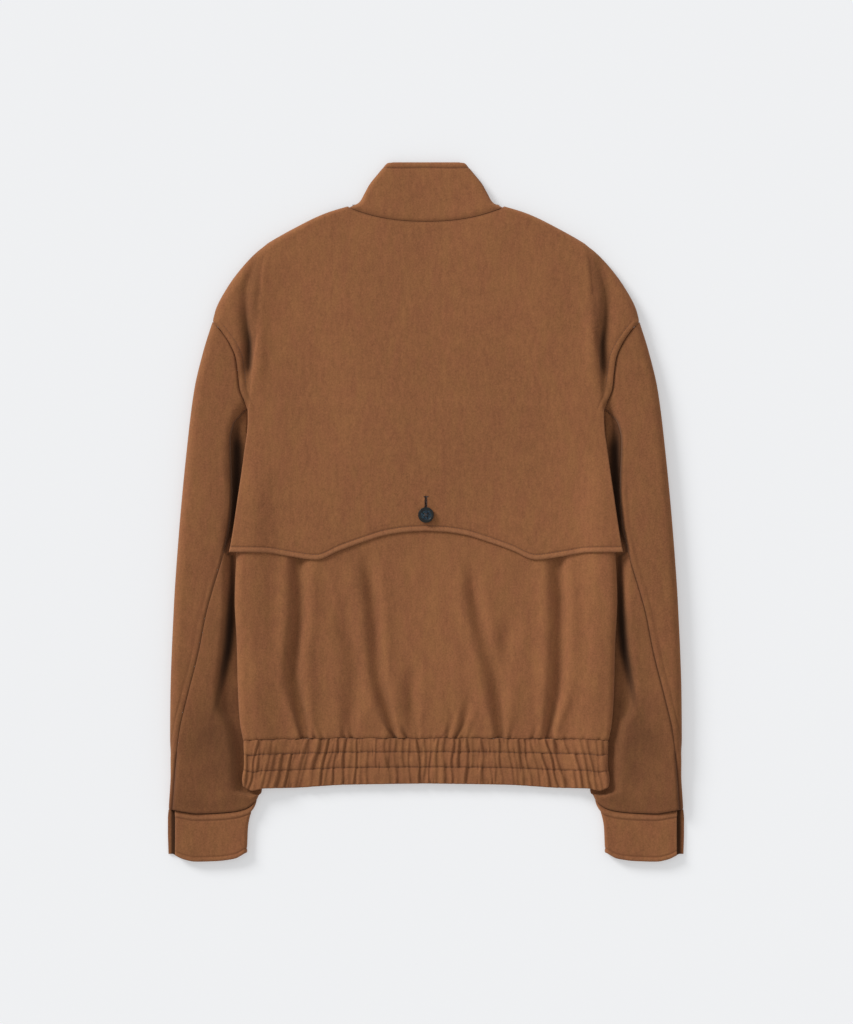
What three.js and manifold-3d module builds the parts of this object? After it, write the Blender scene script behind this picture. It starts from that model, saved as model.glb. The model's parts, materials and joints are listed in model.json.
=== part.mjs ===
// Suede jacket laid flat on its front, seen from the back. Millimetres, +Z up, +Y towards the collar.
// The garment rests on the surface z = 0. Stations are measured along Y from the middle of the laid length.
import * as THREE from 'three';
import { mergeVertices } from 'three/addons/utils/BufferGeometryUtils.js';
import Module from 'manifold-3d';

const wasm = await Module();
wasm.setup();

// Sizes of the cut and the cloth.
const cloth = { wall: 1.8, seamGap: 0.3, layerGap: 0.4, flapWall: 2.0, collarWall: 2.6, cuffWall: 2.3 };
const lap = { half: 20, rise: 2.15, ramp: 9 };
const hemSeam = { at: -260, sideDrop: 2.3 };
const neck = { backDip: 16, half: 89.1, frontAt: 297.8 };
const gathers = { count: 45, height: 1.1 };
const button = {
  across: 18, thick: 3, at: -3.4, holeAcross: 2, holeSpread: 2.6, rimWidth: 2.2, dish: 0.7, shank: 1,
};
const buttonhole = { top: 17.5, foot: -6.5, width: 1.8 };

// Half widths of the body, from the neck point out along the shoulder, round the armhole and down the side.
const shoulderLine = [
  { at: 349.6, half: 89.1 },
  { at: 341.5, half: 115.6 },
  { at: 330, half: 140.9 },
  { at: 301.3, half: 189.7 },
  { at: 278.3, half: 212.7 },
  { at: 255.3, half: 229.4 },
  { at: 232.3, half: 241.5 },
  { at: 219.6, half: 244.9 },
];
const armhole = [
  { at: 219.6, half: 244.9 },
  { at: 207, half: 234.6 },
  { at: 193.2, half: 225.4 },
  { at: 177.1, half: 218.5 },
  { at: 162.1, half: 216.2 },
  { at: 141.4, half: 213.9 },
  { at: 128.8, half: 209.3 },
  { at: 118.4, half: 204.7 },
];
const bodySide = [
  { at: 118.4, half: 204.7, middle: 7 },
  { at: 94.3, half: 204.7, middle: 7.4 },
  { at: 59.8, half: 206.4, middle: 8.6 },
  { at: 13.8, half: 210.4, middle: 10 },
  { at: -46, half: 217.3, middle: 10.6 },
  { at: -101.2, half: 219.6, middle: 10.8 },
  { at: -149.5, half: 217.3, middle: 10.6 },
  { at: -197.8, half: 216.2, middle: 9.8 },
  { at: -238, half: 213.9, middle: 8.6 },
  { at: -260, half: 209.9, middle: 8.1 },
];

// How full the laid body is, without folds, from the neck down to the hem.
const fullness = [
  { at: 349.6, depth: 9.4 },
  { at: 290, depth: 11.2 },
  { at: 200, depth: 12 },
  { at: 110, depth: 11.6 },
  { at: 0, depth: 11.4 },
  { at: -100, depth: 11.8 },
  { at: -190, depth: 10.8 },
  { at: -235, depth: 8.6 },
  { at: -260, depth: 7.2 },
  { at: -320, depth: 6.7 },
];

// The sleeve: its outer edge, where it turns down beside the body, and the edge tucked under the body.
const sleeveOuter = [
  { at: 219.6, half: 244.9, height: 12.5 },
  { at: 186.3, half: 255.3, height: 14.2 },
  { at: 140.3, half: 266.2, height: 15 },
  { at: 71.3, half: 274.8, height: 16 },
  { at: -20.7, half: 283.5, height: 16.4 },
  { at: -112.7, half: 289.8, height: 16.6 },
  { at: -216.2, half: 293.6, height: 16.4 },
  { at: -262.2, half: 293.9, height: 15.8 },
  { at: -300, half: 293, height: 15 },
  { at: -328, half: 294.4, height: 13.2 },
  { at: -348.4, half: 295.4, height: 10.4 },
];
const sleeveTurn = [
  { at: 118.4, half: 213.9 },
  { at: 102.3, half: 220.8 },
  { at: 81.6, half: 224.2 },
  { at: 48.3, half: 224.2 },
  { at: 15, half: 221.6 },
  { at: -27.6, half: 227.1 },
  { at: -55.2, half: 228.8 },
  { at: -101.2, half: 228.6 },
  { at: -158.7, half: 232.9 },
  { at: -204.7, half: 238 },
  { at: -224, half: 237 },
  { at: -244.9, half: 226.5 },
  { at: -280, half: 220 },
  { at: -319, half: 218.5 },
  { at: -327, half: 204 },
  { at: -337, half: 192 },
];
const sleeveTuck = [
  { at: 118.4, half: 203.5, height: 5.2 },
  { at: 108, half: 204.4, height: 4.9 },
  { at: 71.3, half: 205.4, height: 4.8 },
  { at: 13.8, half: 206, height: 4.8 },
  { at: -101.2, half: 207, height: 4.8 },
  { at: -158.7, half: 204.7, height: 4.8 },
  { at: -216.2, half: 201.2, height: 4.8 },
  { at: -273.7, half: 195.5, height: 4.8 },
  { at: -318, half: 188.6, height: 4.8 },
  { at: -334, half: 190.9, height: 7 },
  { at: -348.4, half: 193.9, height: 9.4 },
];
const sleeveBackSeam = [
  { at: 118.4, half: 204.7 },
  { at: 110.4, half: 212.6 },
  { at: 102.3, half: 219.5 },
  { at: 81.6, half: 223.8 },
  { at: 25.3, half: 222 },
  { at: -6.9, half: 224.1 },
  { at: -43.7, half: 231.1 },
  { at: -86.2, half: 243.8 },
  { at: -115, half: 251.8 },
  { at: -161, half: 261 },
  { at: -213.9, half: 274.3 },
  { at: -250.7, half: 282.9 },
  { at: -276, half: 286.2 },
  { at: -302.4, half: 289 },
  { at: -348.4, half: 292 },
];
const sleeveFrontSeam = [
  { at: 118.4, half: 204.7 },
  { at: 104, half: 216 },
  { at: 70, half: 224 },
  { at: -40, half: 232 },
  { at: -200, half: 238 },
  { at: -348.4, half: 240 },
];

// The flap: free side edge below the armhole, and its shaped hem.
const flapSide = [
  { at: 141.4, half: 213.9 },
  { at: 133.4, half: 210.4 },
  { at: 125.3, half: 204.7 },
  { at: 105.8, half: 204.7 },
  { at: 64.4, half: 209.3 },
  { at: 14.9, half: 216.2 },
  { at: -31, half: 223.1 },
  { at: -46, half: 226 },
];
const flapHem = [
  { across: 0, at: -21.8 },
  { across: 21.8, at: -23 },
  { across: 44.8, at: -26.4 },
  { across: 70.1, at: -34 },
  { across: 98.9, at: -44.2 },
  { across: 126, at: -55 },
  { across: 156.4, at: -51.1 },
  { across: 186.3, at: -46.5 },
  { across: 226, at: -46 },
];

// Soft valley of the laid cloth beside each armhole.
const armholeValley = [
  { at: 300, half: 196, depth: 0 },
  { at: 281.8, half: 198.9, depth: 2 },
  { at: 246.1, half: 207, depth: 3.4 },
  { at: 221.9, half: 205.8, depth: 4.8 },
  { at: 190.9, half: 202.4, depth: 5.6 },
  { at: 169, half: 203, depth: 5.2 },
  { at: 154.1, half: 204.5, depth: 2.6 },
  { at: 134.5, half: 206, depth: 0 },
];

// Folds down the lower back: their place under the flap, at two heights below it, and at the hem seam.
const foldStations = { flap: -55, upper: -113, lower: -182, foot: -250 };
const folds = [
  { fold: 'leftside', flap: -147.4, upper: -146, lower: -151.8, foot: -139.1, depth: 5.6, width: 9, starts: -30 },
  { fold: 'leftsoft', flap: -95.4, upper: -95.4, lower: -81.6, foot: -87.4, depth: 2.6, width: 13, starts: -110 },
  { fold: 'leftinner', flap: -69, upper: -60.9, lower: -56.3, foot: -37.9, depth: 3.8, width: 9, starts: -50 },
  { fold: 'middle', flap: -19.5, upper: -19.5, lower: -17.2, foot: -17.2, depth: 2, width: 9, starts: -170 },
  { fold: 'rightinner', flap: 50.6, upper: 57.5, lower: 74.8, foot: 85.1, depth: 3.4, width: 9, starts: -60 },
  { fold: 'rightsoft', flap: 98.9, upper: 96.6, lower: 86.2, foot: 83.9, depth: 2, width: 11, starts: -115 },
  { fold: 'rightfoot', flap: 59.8, upper: 55.2, lower: 52.9, foot: 41.4, depth: 2.4, width: 7, starts: -215 },
  { fold: 'rightside', flap: 150.1, upper: 152.9, lower: 151.8, foot: 141.4, depth: 5.6, width: 9, starts: -30 },
];

// The collar, from the neck seam up, laid flat: half width and station of its side, and its laid height.
const collarSide = [
  { up: 0, at: 349.6, half: 89.1, height: 12 },
  { up: 0.1, at: 354.8, half: 77, height: 12 },
  { up: 0.28, at: 364.5, half: 71.3, height: 11.4 },
  { up: 0.5, at: 376, half: 65, height: 10.6 },
  { up: 0.72, at: 387.5, half: 56, height: 9.8 },
  { up: 0.9, at: 397, half: 48, height: 9.2 },
  { up: 1, at: 401.7, half: 43.5, height: 9 },
];
const collarDepth = { backFoot: 333.7, backTop: 401.7, frontTop: 352 };

// The cuff's seam to the sleeve and its lower edge, from the inner side to the outer side.
const cuffEdges = [
  { across: 193.9, seam: -331.2, foot: -391 },
  { across: 205.8, seam: -340.6, foot: -391.8 },
  { across: 219.6, seam: -344.4, foot: -398.2 },
  { across: 241.5, seam: -346.4, foot: -401.1 },
  { across: 264.5, seam: -347, foot: -401.7 },
  { across: 278, seam: -345, foot: -399.2 },
  { across: 291, seam: -342.7, foot: -393 },
];
const cuffSides = [
  { down: 0, inner: 193.9, top: 288.6, wrap: 296 },
  { down: 0.2, inner: 201.8, top: 288.2, wrap: 296.7 },
  { down: 0.45, inner: 204.4, top: 288.2, wrap: 296.7 },
  { down: 1, inner: 205.8, top: 288.4, wrap: 296 },
];
const cuffLaid = { height: 8.4, endHeight: 7.6 };

// Smooth value read from a table between its rows, with no overshoot.
function reader(rows, key, column) {
  const sorted = [...rows].sort((a, b) => a[key] - b[key]);
  const x = sorted.map((row) => row[key]);
  const y = sorted.map((row) => row[column]);
  const last = x.length - 1;
  const rise = x.slice(0, last).map((_, i) => (y[i + 1] - y[i]) / (x[i + 1] - x[i]));
  const slope = x.map((_, i) => {
    if (i === 0) return rise[0];
    if (i === last) return rise[last - 1];
    if (rise[i - 1] * rise[i] <= 0) return 0;
    return (2 * rise[i - 1] * rise[i]) / (rise[i - 1] + rise[i]);
  });
  return (value) => {
    const at = Math.min(Math.max(value, x[0]), x[last]);
    let i = 0;
    while (i < last - 1 && at > x[i + 1]) i += 1;
    const span = x[i + 1] - x[i];
    const t = (at - x[i]) / span;
    const rest = 1 - t;
    return (
      y[i] * (1 + 2 * t) * rest * rest + slope[i] * span * t * rest * rest
      + y[i + 1] * t * t * (3 - 2 * t) - slope[i + 1] * span * t * t * rest
    );
  };
}

const smooth = (from, to, value) => THREE.MathUtils.smoothstep(value, from, to);
const ease = (from, to, value) => (from < to ? smooth(from, to, value) : 1 - smooth(to, from, value));
const mix = THREE.MathUtils.lerp;
const bump = (distance, width) => Math.exp(-((distance / width) ** 2));

const shoulderHalf = reader(shoulderLine, 'at', 'half');
const armholeHalf = reader(armhole, 'at', 'half');
const sideHalf = reader(bodySide, 'at', 'half');
const sideMiddle = reader(bodySide, 'at', 'middle');
const bodyDepth = reader(fullness, 'at', 'depth');
const outerHalf = reader(sleeveOuter, 'at', 'half');
const sleeveHeight = reader(sleeveOuter, 'at', 'height');
const turnHalf = reader(sleeveTurn, 'at', 'half');
const tuckHalf = reader(sleeveTuck, 'at', 'half');
const tuckHeight = reader(sleeveTuck, 'at', 'height');
const backSeamHalf = reader(sleeveBackSeam, 'at', 'half');
const frontSeamHalf = reader(sleeveFrontSeam, 'at', 'half');
const flapHalf = reader(flapSide, 'at', 'half');
const flapFoot = reader(flapHem, 'across', 'at');
const valleyHalf = reader(armholeValley, 'at', 'half');
const valleyDepth = reader(armholeValley, 'at', 'depth');
const cuffSeamAt = reader(cuffEdges, 'across', 'seam');
const cuffFootAt = reader(cuffEdges, 'across', 'foot');

const shoulderPoint = shoulderLine.at(-1).at;
const armpit = armhole.at(-1).at;
const shoulderMiddle = 6.4;

// The laid body rides up at its sides, where the edge of each sleeve is tucked under it.
function lift(x, y) {
  const clear = 5.2;
  const tucked = tuckHalf(y);
  return clear * smooth(tucked - 38, tucked - 3, Math.abs(x)) * ease(78, 10, y);
}

function backWithoutFolds(x, y) {
  const side = Math.abs(x);
  const fuller = 1.1 * bump(side - (bodyHalf(y) - 34), 30) * ease(-250, -190, y) * ease(330, 270, y);
  const valley = valleyDepth(y) * bump(side - valleyHalf(y), 9);
  const crest = 0.28 * valleyDepth(y) * bump(side - valleyHalf(y) + 17, 10);
  return bodyDepth(y) + lift(x, y) + fuller - valley + crest;
}

const foldPaths = folds.map((fold) => {
  const knots = Object.entries(foldStations).map(([station, at]) => ({ at, across: fold[station] }));
  return { ...fold, path: reader(knots, 'at', 'across') };
});

function backSurface(x, y) {
  let height = backWithoutFolds(x, y);
  for (const fold of foldPaths) {
    const begins = ease(fold.starts + 12, fold.starts - 34, y);
    const fades = mix(1, 0.6, smooth(-225, -256, y));
    const off = x - fold.path(y);
    const width = fold.width * mix(1, 0.75, ease(-215, -255, y));
    height -= fold.depth * begins * fades * bump(off, width);
    const beside = 0.3 * fold.depth * begins * fades * ease(-40, -95, y);
    height += beside * bump(Math.abs(off) - 1.9 * width, 1.1 * width);
  }
  return Math.max(height, lift(x, y) + 2 * cloth.wall + 0.7 + lapUnder(x));
}

// The right front lies over the left one along the lap, so the middle is one wall thicker.
const lapUnder = (x) => lap.rise * ease(lap.half + lap.ramp + 2, lap.half + 1, Math.abs(x));

function bodyHalf(y) {
  if (y >= shoulderPoint) return shoulderHalf(y) - cloth.flapWall - cloth.layerGap;
  const room = (cloth.flapWall + cloth.layerGap) * (1 - armholeSpread(y));
  if (y >= armpit) return armholeHalf(y) - cloth.seamGap / 2 - room * smooth(180, shoulderPoint, y);
  return sideHalf(y);
}

const sleeveRoll = { outer: 11, inner: 2.7 };
function circle(distance, radius) {
  const left = 1 - Math.min(Math.max(distance, 0), radius) / radius;
  return Math.sqrt(1 - left ** 2);
}

// The sleeve ring. Places run from -1 at the edge tucked under the body, over the top to 1 at the outer edge,
// and on to 3, back at the tucked edge, along the underside.
const sleeveCore = 0.55;

function sleeveInner(y) {
  if (y <= armpit) return tuckHalf(y);
  return armholeHalf(y) - 1.2 - 35 * smooth(armpit, 150, y);
}

function sleeveTop(x, y) {
  const full = sleeveHeight(y) * (1 - 0.12 * smooth(14, 58, outerHalf(y) - x));
  const below = ease(138, 112, y);
  const turned = mix(full, tuckHeight(y), below * smooth(-7, 8, turnHalf(y) - x));
  const seam = backWithoutFolds(armholeHalf(y), y) + 1.2;
  return mix(turned, seam, (1 - below) * bump(x - armholeHalf(y), 12));
}

function sleeveRing(place, y) {
  const inner = sleeveInner(y);
  const outer = outerHalf(y);
  const middle = (inner + outer) / 2;
  const half = (outer - inner) / 2;
  const wrapped = place > 3 ? place - 4 : place < -1 ? place + 4 : place;
  const onTop = wrapped <= 1;
  const signed = onTop ? wrapped : 2 - wrapped;
  const share = Math.abs(signed);
  const outward = signed > 0;
  const tucked = y <= armpit ? Math.min(tuckHeight(y) * 0.56, 4.5) : 2.7;
  const roll = outward ? Math.min(sleeveRoll.outer, sleeveHeight(y) * 0.68) : tucked;
  const core = half - roll;
  const turn = ((share - sleeveCore) / (1 - sleeveCore)) * (Math.PI / 2);
  const off = share <= sleeveCore ? (core * share) / sleeveCore : core + roll * Math.sin(turn);
  const full = circle(half - off, roll);
  const x = outward ? middle + off : middle - off;
  const centre = outward ? sleeveHeight(y) / 2 : tuckHeight(y) / 2;
  return { x, z: onTop ? mix(centre, sleeveTop(x, y), full) : mix(centre, 0, full) };
}

// Place on the ring of a line at a given distance from the middle of the garment.
function ringPlace(x, y, onTop) {
  let low = onTop ? -1 : 1;
  let high = onTop ? 1 : 3;
  for (let i = 0; i < 40; i += 1) {
    const at = (low + high) / 2;
    const beyond = sleeveRing(at, y).x > x;
    if (beyond === onTop) high = at;
    else low = at;
  }
  return (low + high) / 2;
}

// How open the armhole ring stands: none at the shoulder point and at the armpit, fully flat between them.
function armholeSpread(y) {
  const fromShoulder = circle(outerHalf(y) - armholeHalf(y), sleeveRoll.outer);
  const fromArmpit = circle(y - armpit, 16);
  return fromShoulder * fromArmpit;
}

function bodyEdge(y, raised) {
  const half = bodyHalf(y);
  const under = lift(half, y);
  if (y >= shoulderPoint) return { top: shoulderMiddle, under: shoulderMiddle };
  if (y >= armpit) {
    const open = armholeSpread(y);
    const middle = mix(shoulderMiddle, sideMiddle(armpit), smooth(shoulderPoint, armpit, y));
    return { top: mix(middle, raised, open), under: mix(middle, under, open) };
  }
  return { top: sideMiddle(y), under: sideMiddle(y) };
}

// Distance from the middle of a place on a surface that is flat over its core and rolls down at its side.
// Places run from the middle at 0 out to the seam at the shoulder, armhole or side at 1 or -1.
const ringCore = 19 / 22;
function rolledAcross(share, core, half, roll) {
  if (share <= core) return ((half - roll) * share) / core;
  return half - roll + roll * Math.sin(((share - core) / (1 - core)) * (Math.PI / 2));
}

function bodyPoint(place, y) {
  const half = bodyHalf(y);
  const raised = backWithoutFolds(half, y);
  const roll = Math.min(11, 0.81 * (raised - lift(half, y)));
  const across = rolledAcross(Math.abs(place), ringCore, half, roll);
  const full = circle(half - across, roll);
  const x = Math.sign(place) * across;
  return { x, z: backSurface(x, y) - (raised - bodyEdge(y, raised).top) * (1 - full) };
}

// A closed wall from matching grids of outer and inner points, facing out whichever way the grid runs.
function closedWall(outer, inner) {
  const rows = outer.length;
  const columns = outer[0].length;
  const points = [...outer.flat(), ...inner.flat()];
  const indexOuter = (r, c) => r * columns + c;
  const indexInner = (r, c) => rows * columns + r * columns + c;
  const faces = [];
  const quad = (a, b, c, d) => faces.push([a, b, c], [a, c, d]);
  for (let r = 0; r < rows - 1; r += 1) {
    for (let c = 0; c < columns - 1; c += 1) {
      quad(indexOuter(r, c), indexOuter(r, c + 1), indexOuter(r + 1, c + 1), indexOuter(r + 1, c));
      quad(indexInner(r, c), indexInner(r + 1, c), indexInner(r + 1, c + 1), indexInner(r, c + 1));
    }
  }
  for (let c = 0; c < columns - 1; c += 1) {
    const end = rows - 1;
    quad(indexOuter(0, c), indexInner(0, c), indexInner(0, c + 1), indexOuter(0, c + 1));
    quad(indexOuter(end, c + 1), indexInner(end, c + 1), indexInner(end, c), indexOuter(end, c));
  }
  for (let r = 0; r < rows - 1; r += 1) {
    const end = columns - 1;
    quad(indexOuter(r + 1, 0), indexInner(r + 1, 0), indexInner(r, 0), indexOuter(r, 0));
    quad(indexOuter(r, end), indexInner(r, end), indexInner(r + 1, end), indexOuter(r + 1, end));
  }
  let volume = 0;
  for (const [a, b, c] of faces) volume += points[a].dot(points[b].clone().cross(points[c]));
  if (volume < 0) faces.forEach((face) => face.reverse());
  const geometry = new THREE.BufferGeometry();
  const flat = points.flatMap((p) => [p.x, p.y, p.z]);
  geometry.setAttribute('position', new THREE.BufferAttribute(new Float32Array(flat), 3));
  geometry.setIndex(faces.flat());
  geometry.computeVertexNormals();
  return geometry;
}

// Unit normals of a grid, turned to face out of the garment.
function gridNormals(grid, outward) {
  return grid.map((row, r) => row.map((_, c) => {
    const before = grid[r][Math.max(c - 1, 0)];
    const after = grid[r][Math.min(c + 1, row.length - 1)];
    const above = grid[Math.max(r - 1, 0)][c];
    const below = grid[Math.min(r + 1, grid.length - 1)][c];
    const normal = after.clone().sub(before).cross(below.clone().sub(above)).normalize();
    return normal.multiplyScalar(outward);
  }));
}

// At a seam on the turned side of the body the wall is cut level, and at the armhole it is cut upright.
function seamNormals(grid, normals, rowStations, columnIndex, upward) {
  rowStations.forEach((row, r) => {
    const before = grid[Math.max(r - 1, 0)][columnIndex];
    const after = grid[Math.min(r + 1, grid.length - 1)][columnIndex];
    const along = after.clone().sub(before).setZ(0).normalize();
    const out = new THREE.Vector3(-along.y, along.x, 0);
    out.multiplyScalar(Math.sign(out.x * grid[r][columnIndex].x));
    const open = row < shoulderPoint && row > armpit ? armholeSpread(row) : 0;
    normals[r][columnIndex].copy(out.multiplyScalar(1 - open)).setZ(open * upward).normalize();
  });
}

// At a seam that runs across the garment the wall is cut upright.
function levelAlong(rowOfNormals) {
  rowOfNormals.forEach((normal) => normal.setY(0).normalize());
}

function moved(grid, normals, by) {
  return grid.map((row, r) => row.map((p, c) => p.clone().addScaledVector(normals[r][c], by)));
}

function gridOf(rowStations, columnPlaces, point) {
  return rowStations.map((row) => columnPlaces.map((place) => point(place, row)));
}

const spread = (from, to, steps) =>
  Array.from({ length: steps + 1 }, (_, i) => from + ((to - from) * i) / steps);

const colours = { suede: 0x8a5b3b, suedeLight: 0x96694a, button: 0x2b2c33, thread: 0x5a3a24 };
const finish = (color, roughness) => new THREE.MeshStandardMaterial({ color, roughness, metalness: 0 });
const group = new THREE.Group();

function addPiece(name, geometry, color = colours.suede, roughness = 0.95) {
  const mesh = new THREE.Mesh(geometry, finish(color, roughness));
  mesh.name = name;
  group.add(mesh);
}

// Bow of the neck seam, full at the middle and nothing at its ends.
const neckBow = (share) => 1 - Math.min(1, share) ** 2.3;

// Neck dip of the back, which dies out down the back.
function neckDip(x, row) {
  return neck.backDip * neckBow(Math.abs(x) / neck.half) * ease(262, 349, row);
}

const seamDrop = (x, row) => hemSeam.sideDrop * (Math.abs(x) / 210) ** 4 * ease(-200, -260, row);

// Back panel, from the neck seam and shoulders down to the hem seam.
const bodyColumns = spread(-1, 1, 44);
const upperRows = [349.4, 332, 300, 262, 219.6, 215.5, 206, 190, 172, 150, 134];
const lowerRows = [118.4, 66, 5, -48, -88, -132, -176, -212, -240, hemSeam.at + cloth.seamGap / 2];
const backRows = [...upperRows, ...lowerRows];

function backPoint(place, row) {
  const { x, z } = bodyPoint(place, row);
  const seam = Math.abs(place) === 1 ? cloth.seamGap / 2 : 0;
  const y = row - neckDip(x, row) - seamDrop(x, row);
  return new THREE.Vector3(x, y, z + seam);
}

const backGrid = gridOf(backRows, bodyColumns, backPoint);
const backNormals = gridNormals(backGrid, -1);
for (const column of [0, bodyColumns.length - 1]) seamNormals(backGrid, backNormals, backRows, column, 1);
levelAlong(backNormals[0]);
levelAlong(backNormals.at(-1));
addPiece('back_panel', closedWall(backGrid, moved(backGrid, backNormals, -cloth.wall)));

// Flap: above the armpit the back's own points moved out, below it a free edge draped over the side.
const flapRows = [119, 92, 55, 18, -12, -100];
function flapPoint(place, row) {
  const share = Math.abs(place);
  const edge = Math.max(row, -46);
  const flat = flapHalf(edge) - 8;
  const across = share <= ringCore ? (flat * share) / ringCore : flat + (8 * (share - ringCore)) / (1 - ringCore);
  const x = Math.sign(place) * across;
  const shaped = 0.55 * (flapFoot(across) + 46) * ease(60, -46, edge) * ease(40, -12, row);
  const y = row === flapRows.at(-1) ? flapFoot(across) : row + shaped;
  const rested = Math.min(across, bodyHalf(y) - 9);
  const droop = 1.5 * smooth(0, 22, across - rested);
  const z = backWithoutFolds(rested, y) + cloth.layerGap + 0.5 + cloth.flapWall - droop;
  return new THREE.Vector3(x, y, z);
}

const upperBack = backGrid.slice(0, upperRows.length);
const upperNormals = backNormals.slice(0, upperRows.length);
const flapOuter = [
  ...moved(upperBack, upperNormals, cloth.layerGap + cloth.flapWall),
  ...gridOf(flapRows, bodyColumns, flapPoint),
];
const flapLower = gridOf(flapRows, bodyColumns, flapPoint);
const flapInner = [
  ...moved(upperBack, upperNormals, cloth.layerGap),
  ...moved(flapLower, gridNormals(flapLower, -1), -cloth.flapWall),
];

// Buttonhole slit, cut through the flap above its hem.
function solidOf(geometry) {
  const bare = geometry.clone();
  bare.deleteAttribute('normal');
  bare.deleteAttribute('uv');
  const merged = mergeVertices(bare, 1e-4);
  const mesh = new wasm.Mesh({
    numProp: 3,
    vertProperties: new Float32Array(merged.attributes.position.array),
    triVerts: new Uint32Array(merged.index.array),
  });
  return new wasm.Manifold(mesh);
}

function geometryOf(solid) {
  const mesh = solid.getMesh();
  const geometry = new THREE.BufferGeometry();
  geometry.setAttribute('position', new THREE.BufferAttribute(new Float32Array(mesh.vertProperties), 3));
  geometry.setIndex([...mesh.triVerts]);
  geometry.computeVertexNormals();
  return geometry;
}

const slitLength = buttonhole.top - buttonhole.foot;
const slit = new THREE.BoxGeometry(buttonhole.width, slitLength, 12);
slit.translate(0, (buttonhole.top + buttonhole.foot) / 2, backWithoutFolds(0, 0) + 2);
const flapSolid = solidOf(closedWall(flapOuter, flapInner)).subtract(solidOf(slit));
addPiece('back_flap', geometryOf(flapSolid), colours.suedeLight);

// Button: a dished disc with a raised rim and four holes, resting on the flap over the foot of its slit.
const backTop = backWithoutFolds(0, button.at);
const flapTop = backTop + cloth.layerGap + 0.5 + cloth.flapWall;
const buttonBase = flapTop + button.shank;
const radius = button.across / 2;
const disc = new THREE.LatheGeometry([
  new THREE.Vector2(0, 0),
  new THREE.Vector2(radius - 1, 0),
  new THREE.Vector2(radius, 1),
  new THREE.Vector2(radius, button.thick - 0.7),
  new THREE.Vector2(radius - 0.7, button.thick),
  new THREE.Vector2(radius - button.rimWidth, button.thick),
  new THREE.Vector2(radius - button.rimWidth - 0.9, button.thick - button.dish),
  new THREE.Vector2(0, button.thick - button.dish),
], 26);
disc.rotateX(Math.PI / 2);
let buttonSolid = solidOf(disc);
const threadAt = [];
for (const sx of [-1, 1]) {
  for (const sy of [-1, 1]) {
    threadAt.push({ x: (sx * button.holeSpread) / 1.42, y: (sy * button.holeSpread) / 1.42 });
  }
}
for (const hole of threadAt) {
  const drill = new THREE.CylinderGeometry(button.holeAcross / 2, button.holeAcross / 2, 10, 8);
  drill.rotateX(Math.PI / 2);
  drill.translate(hole.x, hole.y, 0);
  buttonSolid = buttonSolid.subtract(solidOf(drill));
}
const buttonGeometry = geometryOf(buttonSolid);
buttonGeometry.translate(0, button.at, buttonBase);
addPiece('flap_button', buttonGeometry, colours.button, 0.35);

// Thread that holds the button: four legs through its holes, crossed, and a shank down the slit.
const legTop = button.thick - button.dish + 0.7;
const legFoot = -0.55;
const legs = threadAt.map(({ x, y }) => {
  const leg = new THREE.CylinderGeometry(0.55, 0.55, legTop - legFoot, 6);
  leg.rotateX(Math.PI / 2);
  leg.translate(x, y, (legTop + legFoot) / 2);
  return solidOf(leg);
});
let thread = legs[0];
for (const leg of legs.slice(1)) thread = thread.add(leg);
const strand = Math.hypot(threadAt[3].x - threadAt[0].x, threadAt[3].y - threadAt[0].y) + 0.9;
for (const level of [legTop - 0.3, legFoot + 0.27]) {
  for (const turn of [45, -45]) {
    const bar = new THREE.BoxGeometry(strand, 0.9, 0.5);
    bar.rotateZ(THREE.MathUtils.degToRad(turn));
    bar.translate(0, 0, level);
    thread = thread.add(solidOf(bar));
  }
}
const shankFoot = backTop + cloth.seamGap - buttonBase;
const shank = new THREE.BoxGeometry(1.2, 3.4, legFoot + 0.4 - shankFoot);
shank.translate(0, -0.6, (legFoot + 0.4 + shankFoot) / 2);
thread = thread.add(solidOf(shank));
const threadGeometry = geometryOf(thread);
threadGeometry.translate(0, button.at, buttonBase);
addPiece('button_thread', threadGeometry, colours.thread, 0.9);

// Fronts: flat on the surface, the right one stepping over the left one along the lap. Distances run from the middle
// to each front's own side, so the lap reaches past the middle as a negative distance.
const neckTop = neck.frontAt + 0.8;
const frontUpperRows = [
  341, 331, 315, neckTop, neck.frontAt, 262, 219.6, 215.5, 206, 190, 172, 150, 134, 118.4,
];
const frontRows = [...frontUpperRows, 40, -60, -150, -215, hemSeam.at + cloth.seamGap / 2];
const lapSteps = [0, 20, 41, 45.5, 50];
const frontColumns = [...lapSteps.map((step) => ({ step })), ...[0.34, 0.67, 1].map((share) => ({ share }))];
frontColumns.push({ turn: 30 }, { turn: 60 }, { turn: 90 });

function frontStart(row) {
  if (row <= neck.frontAt) return -lap.half;
  const share = (row - neckTop) / (349.6 - neckTop);
  return mix(lap.half + 2, neck.half - 7, Math.sqrt(1 - (1 - share) ** 2));
}

// The neck edge of a front, as it runs between its rows.
const neckRows = frontRows.filter((row) => row >= neckTop).sort((a, b) => a - b);
function neckEdge(x) {
  const starts = neckRows.map(frontStart);
  if (x <= starts[0]) return neckTop;
  const i = starts.findIndex((start) => start > x);
  if (i < 0) return neckRows.at(-1) + 7 * smooth(starts.at(-1), starts.at(-1) + 3, x);
  return mix(neckRows[i - 1], neckRows[i], (x - starts[i - 1]) / (starts[i] - starts[i - 1]));
}

function frontReach(column, row, roll) {
  const start = frontStart(row);
  const flat = bodyHalf(row) - roll;
  const squeeze = row <= neck.frontAt ? 1 : Math.min(0.25, (0.3 * (flat - start)) / lapSteps.at(-1));
  const lapEnd = start + lapSteps.at(-1) * squeeze;
  if ('step' in column) return start + column.step * squeeze;
  if ('share' in column) return mix(lapEnd, flat, column.share);
  return flat + roll * Math.sin(THREE.MathUtils.degToRad(column.turn));
}

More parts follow.
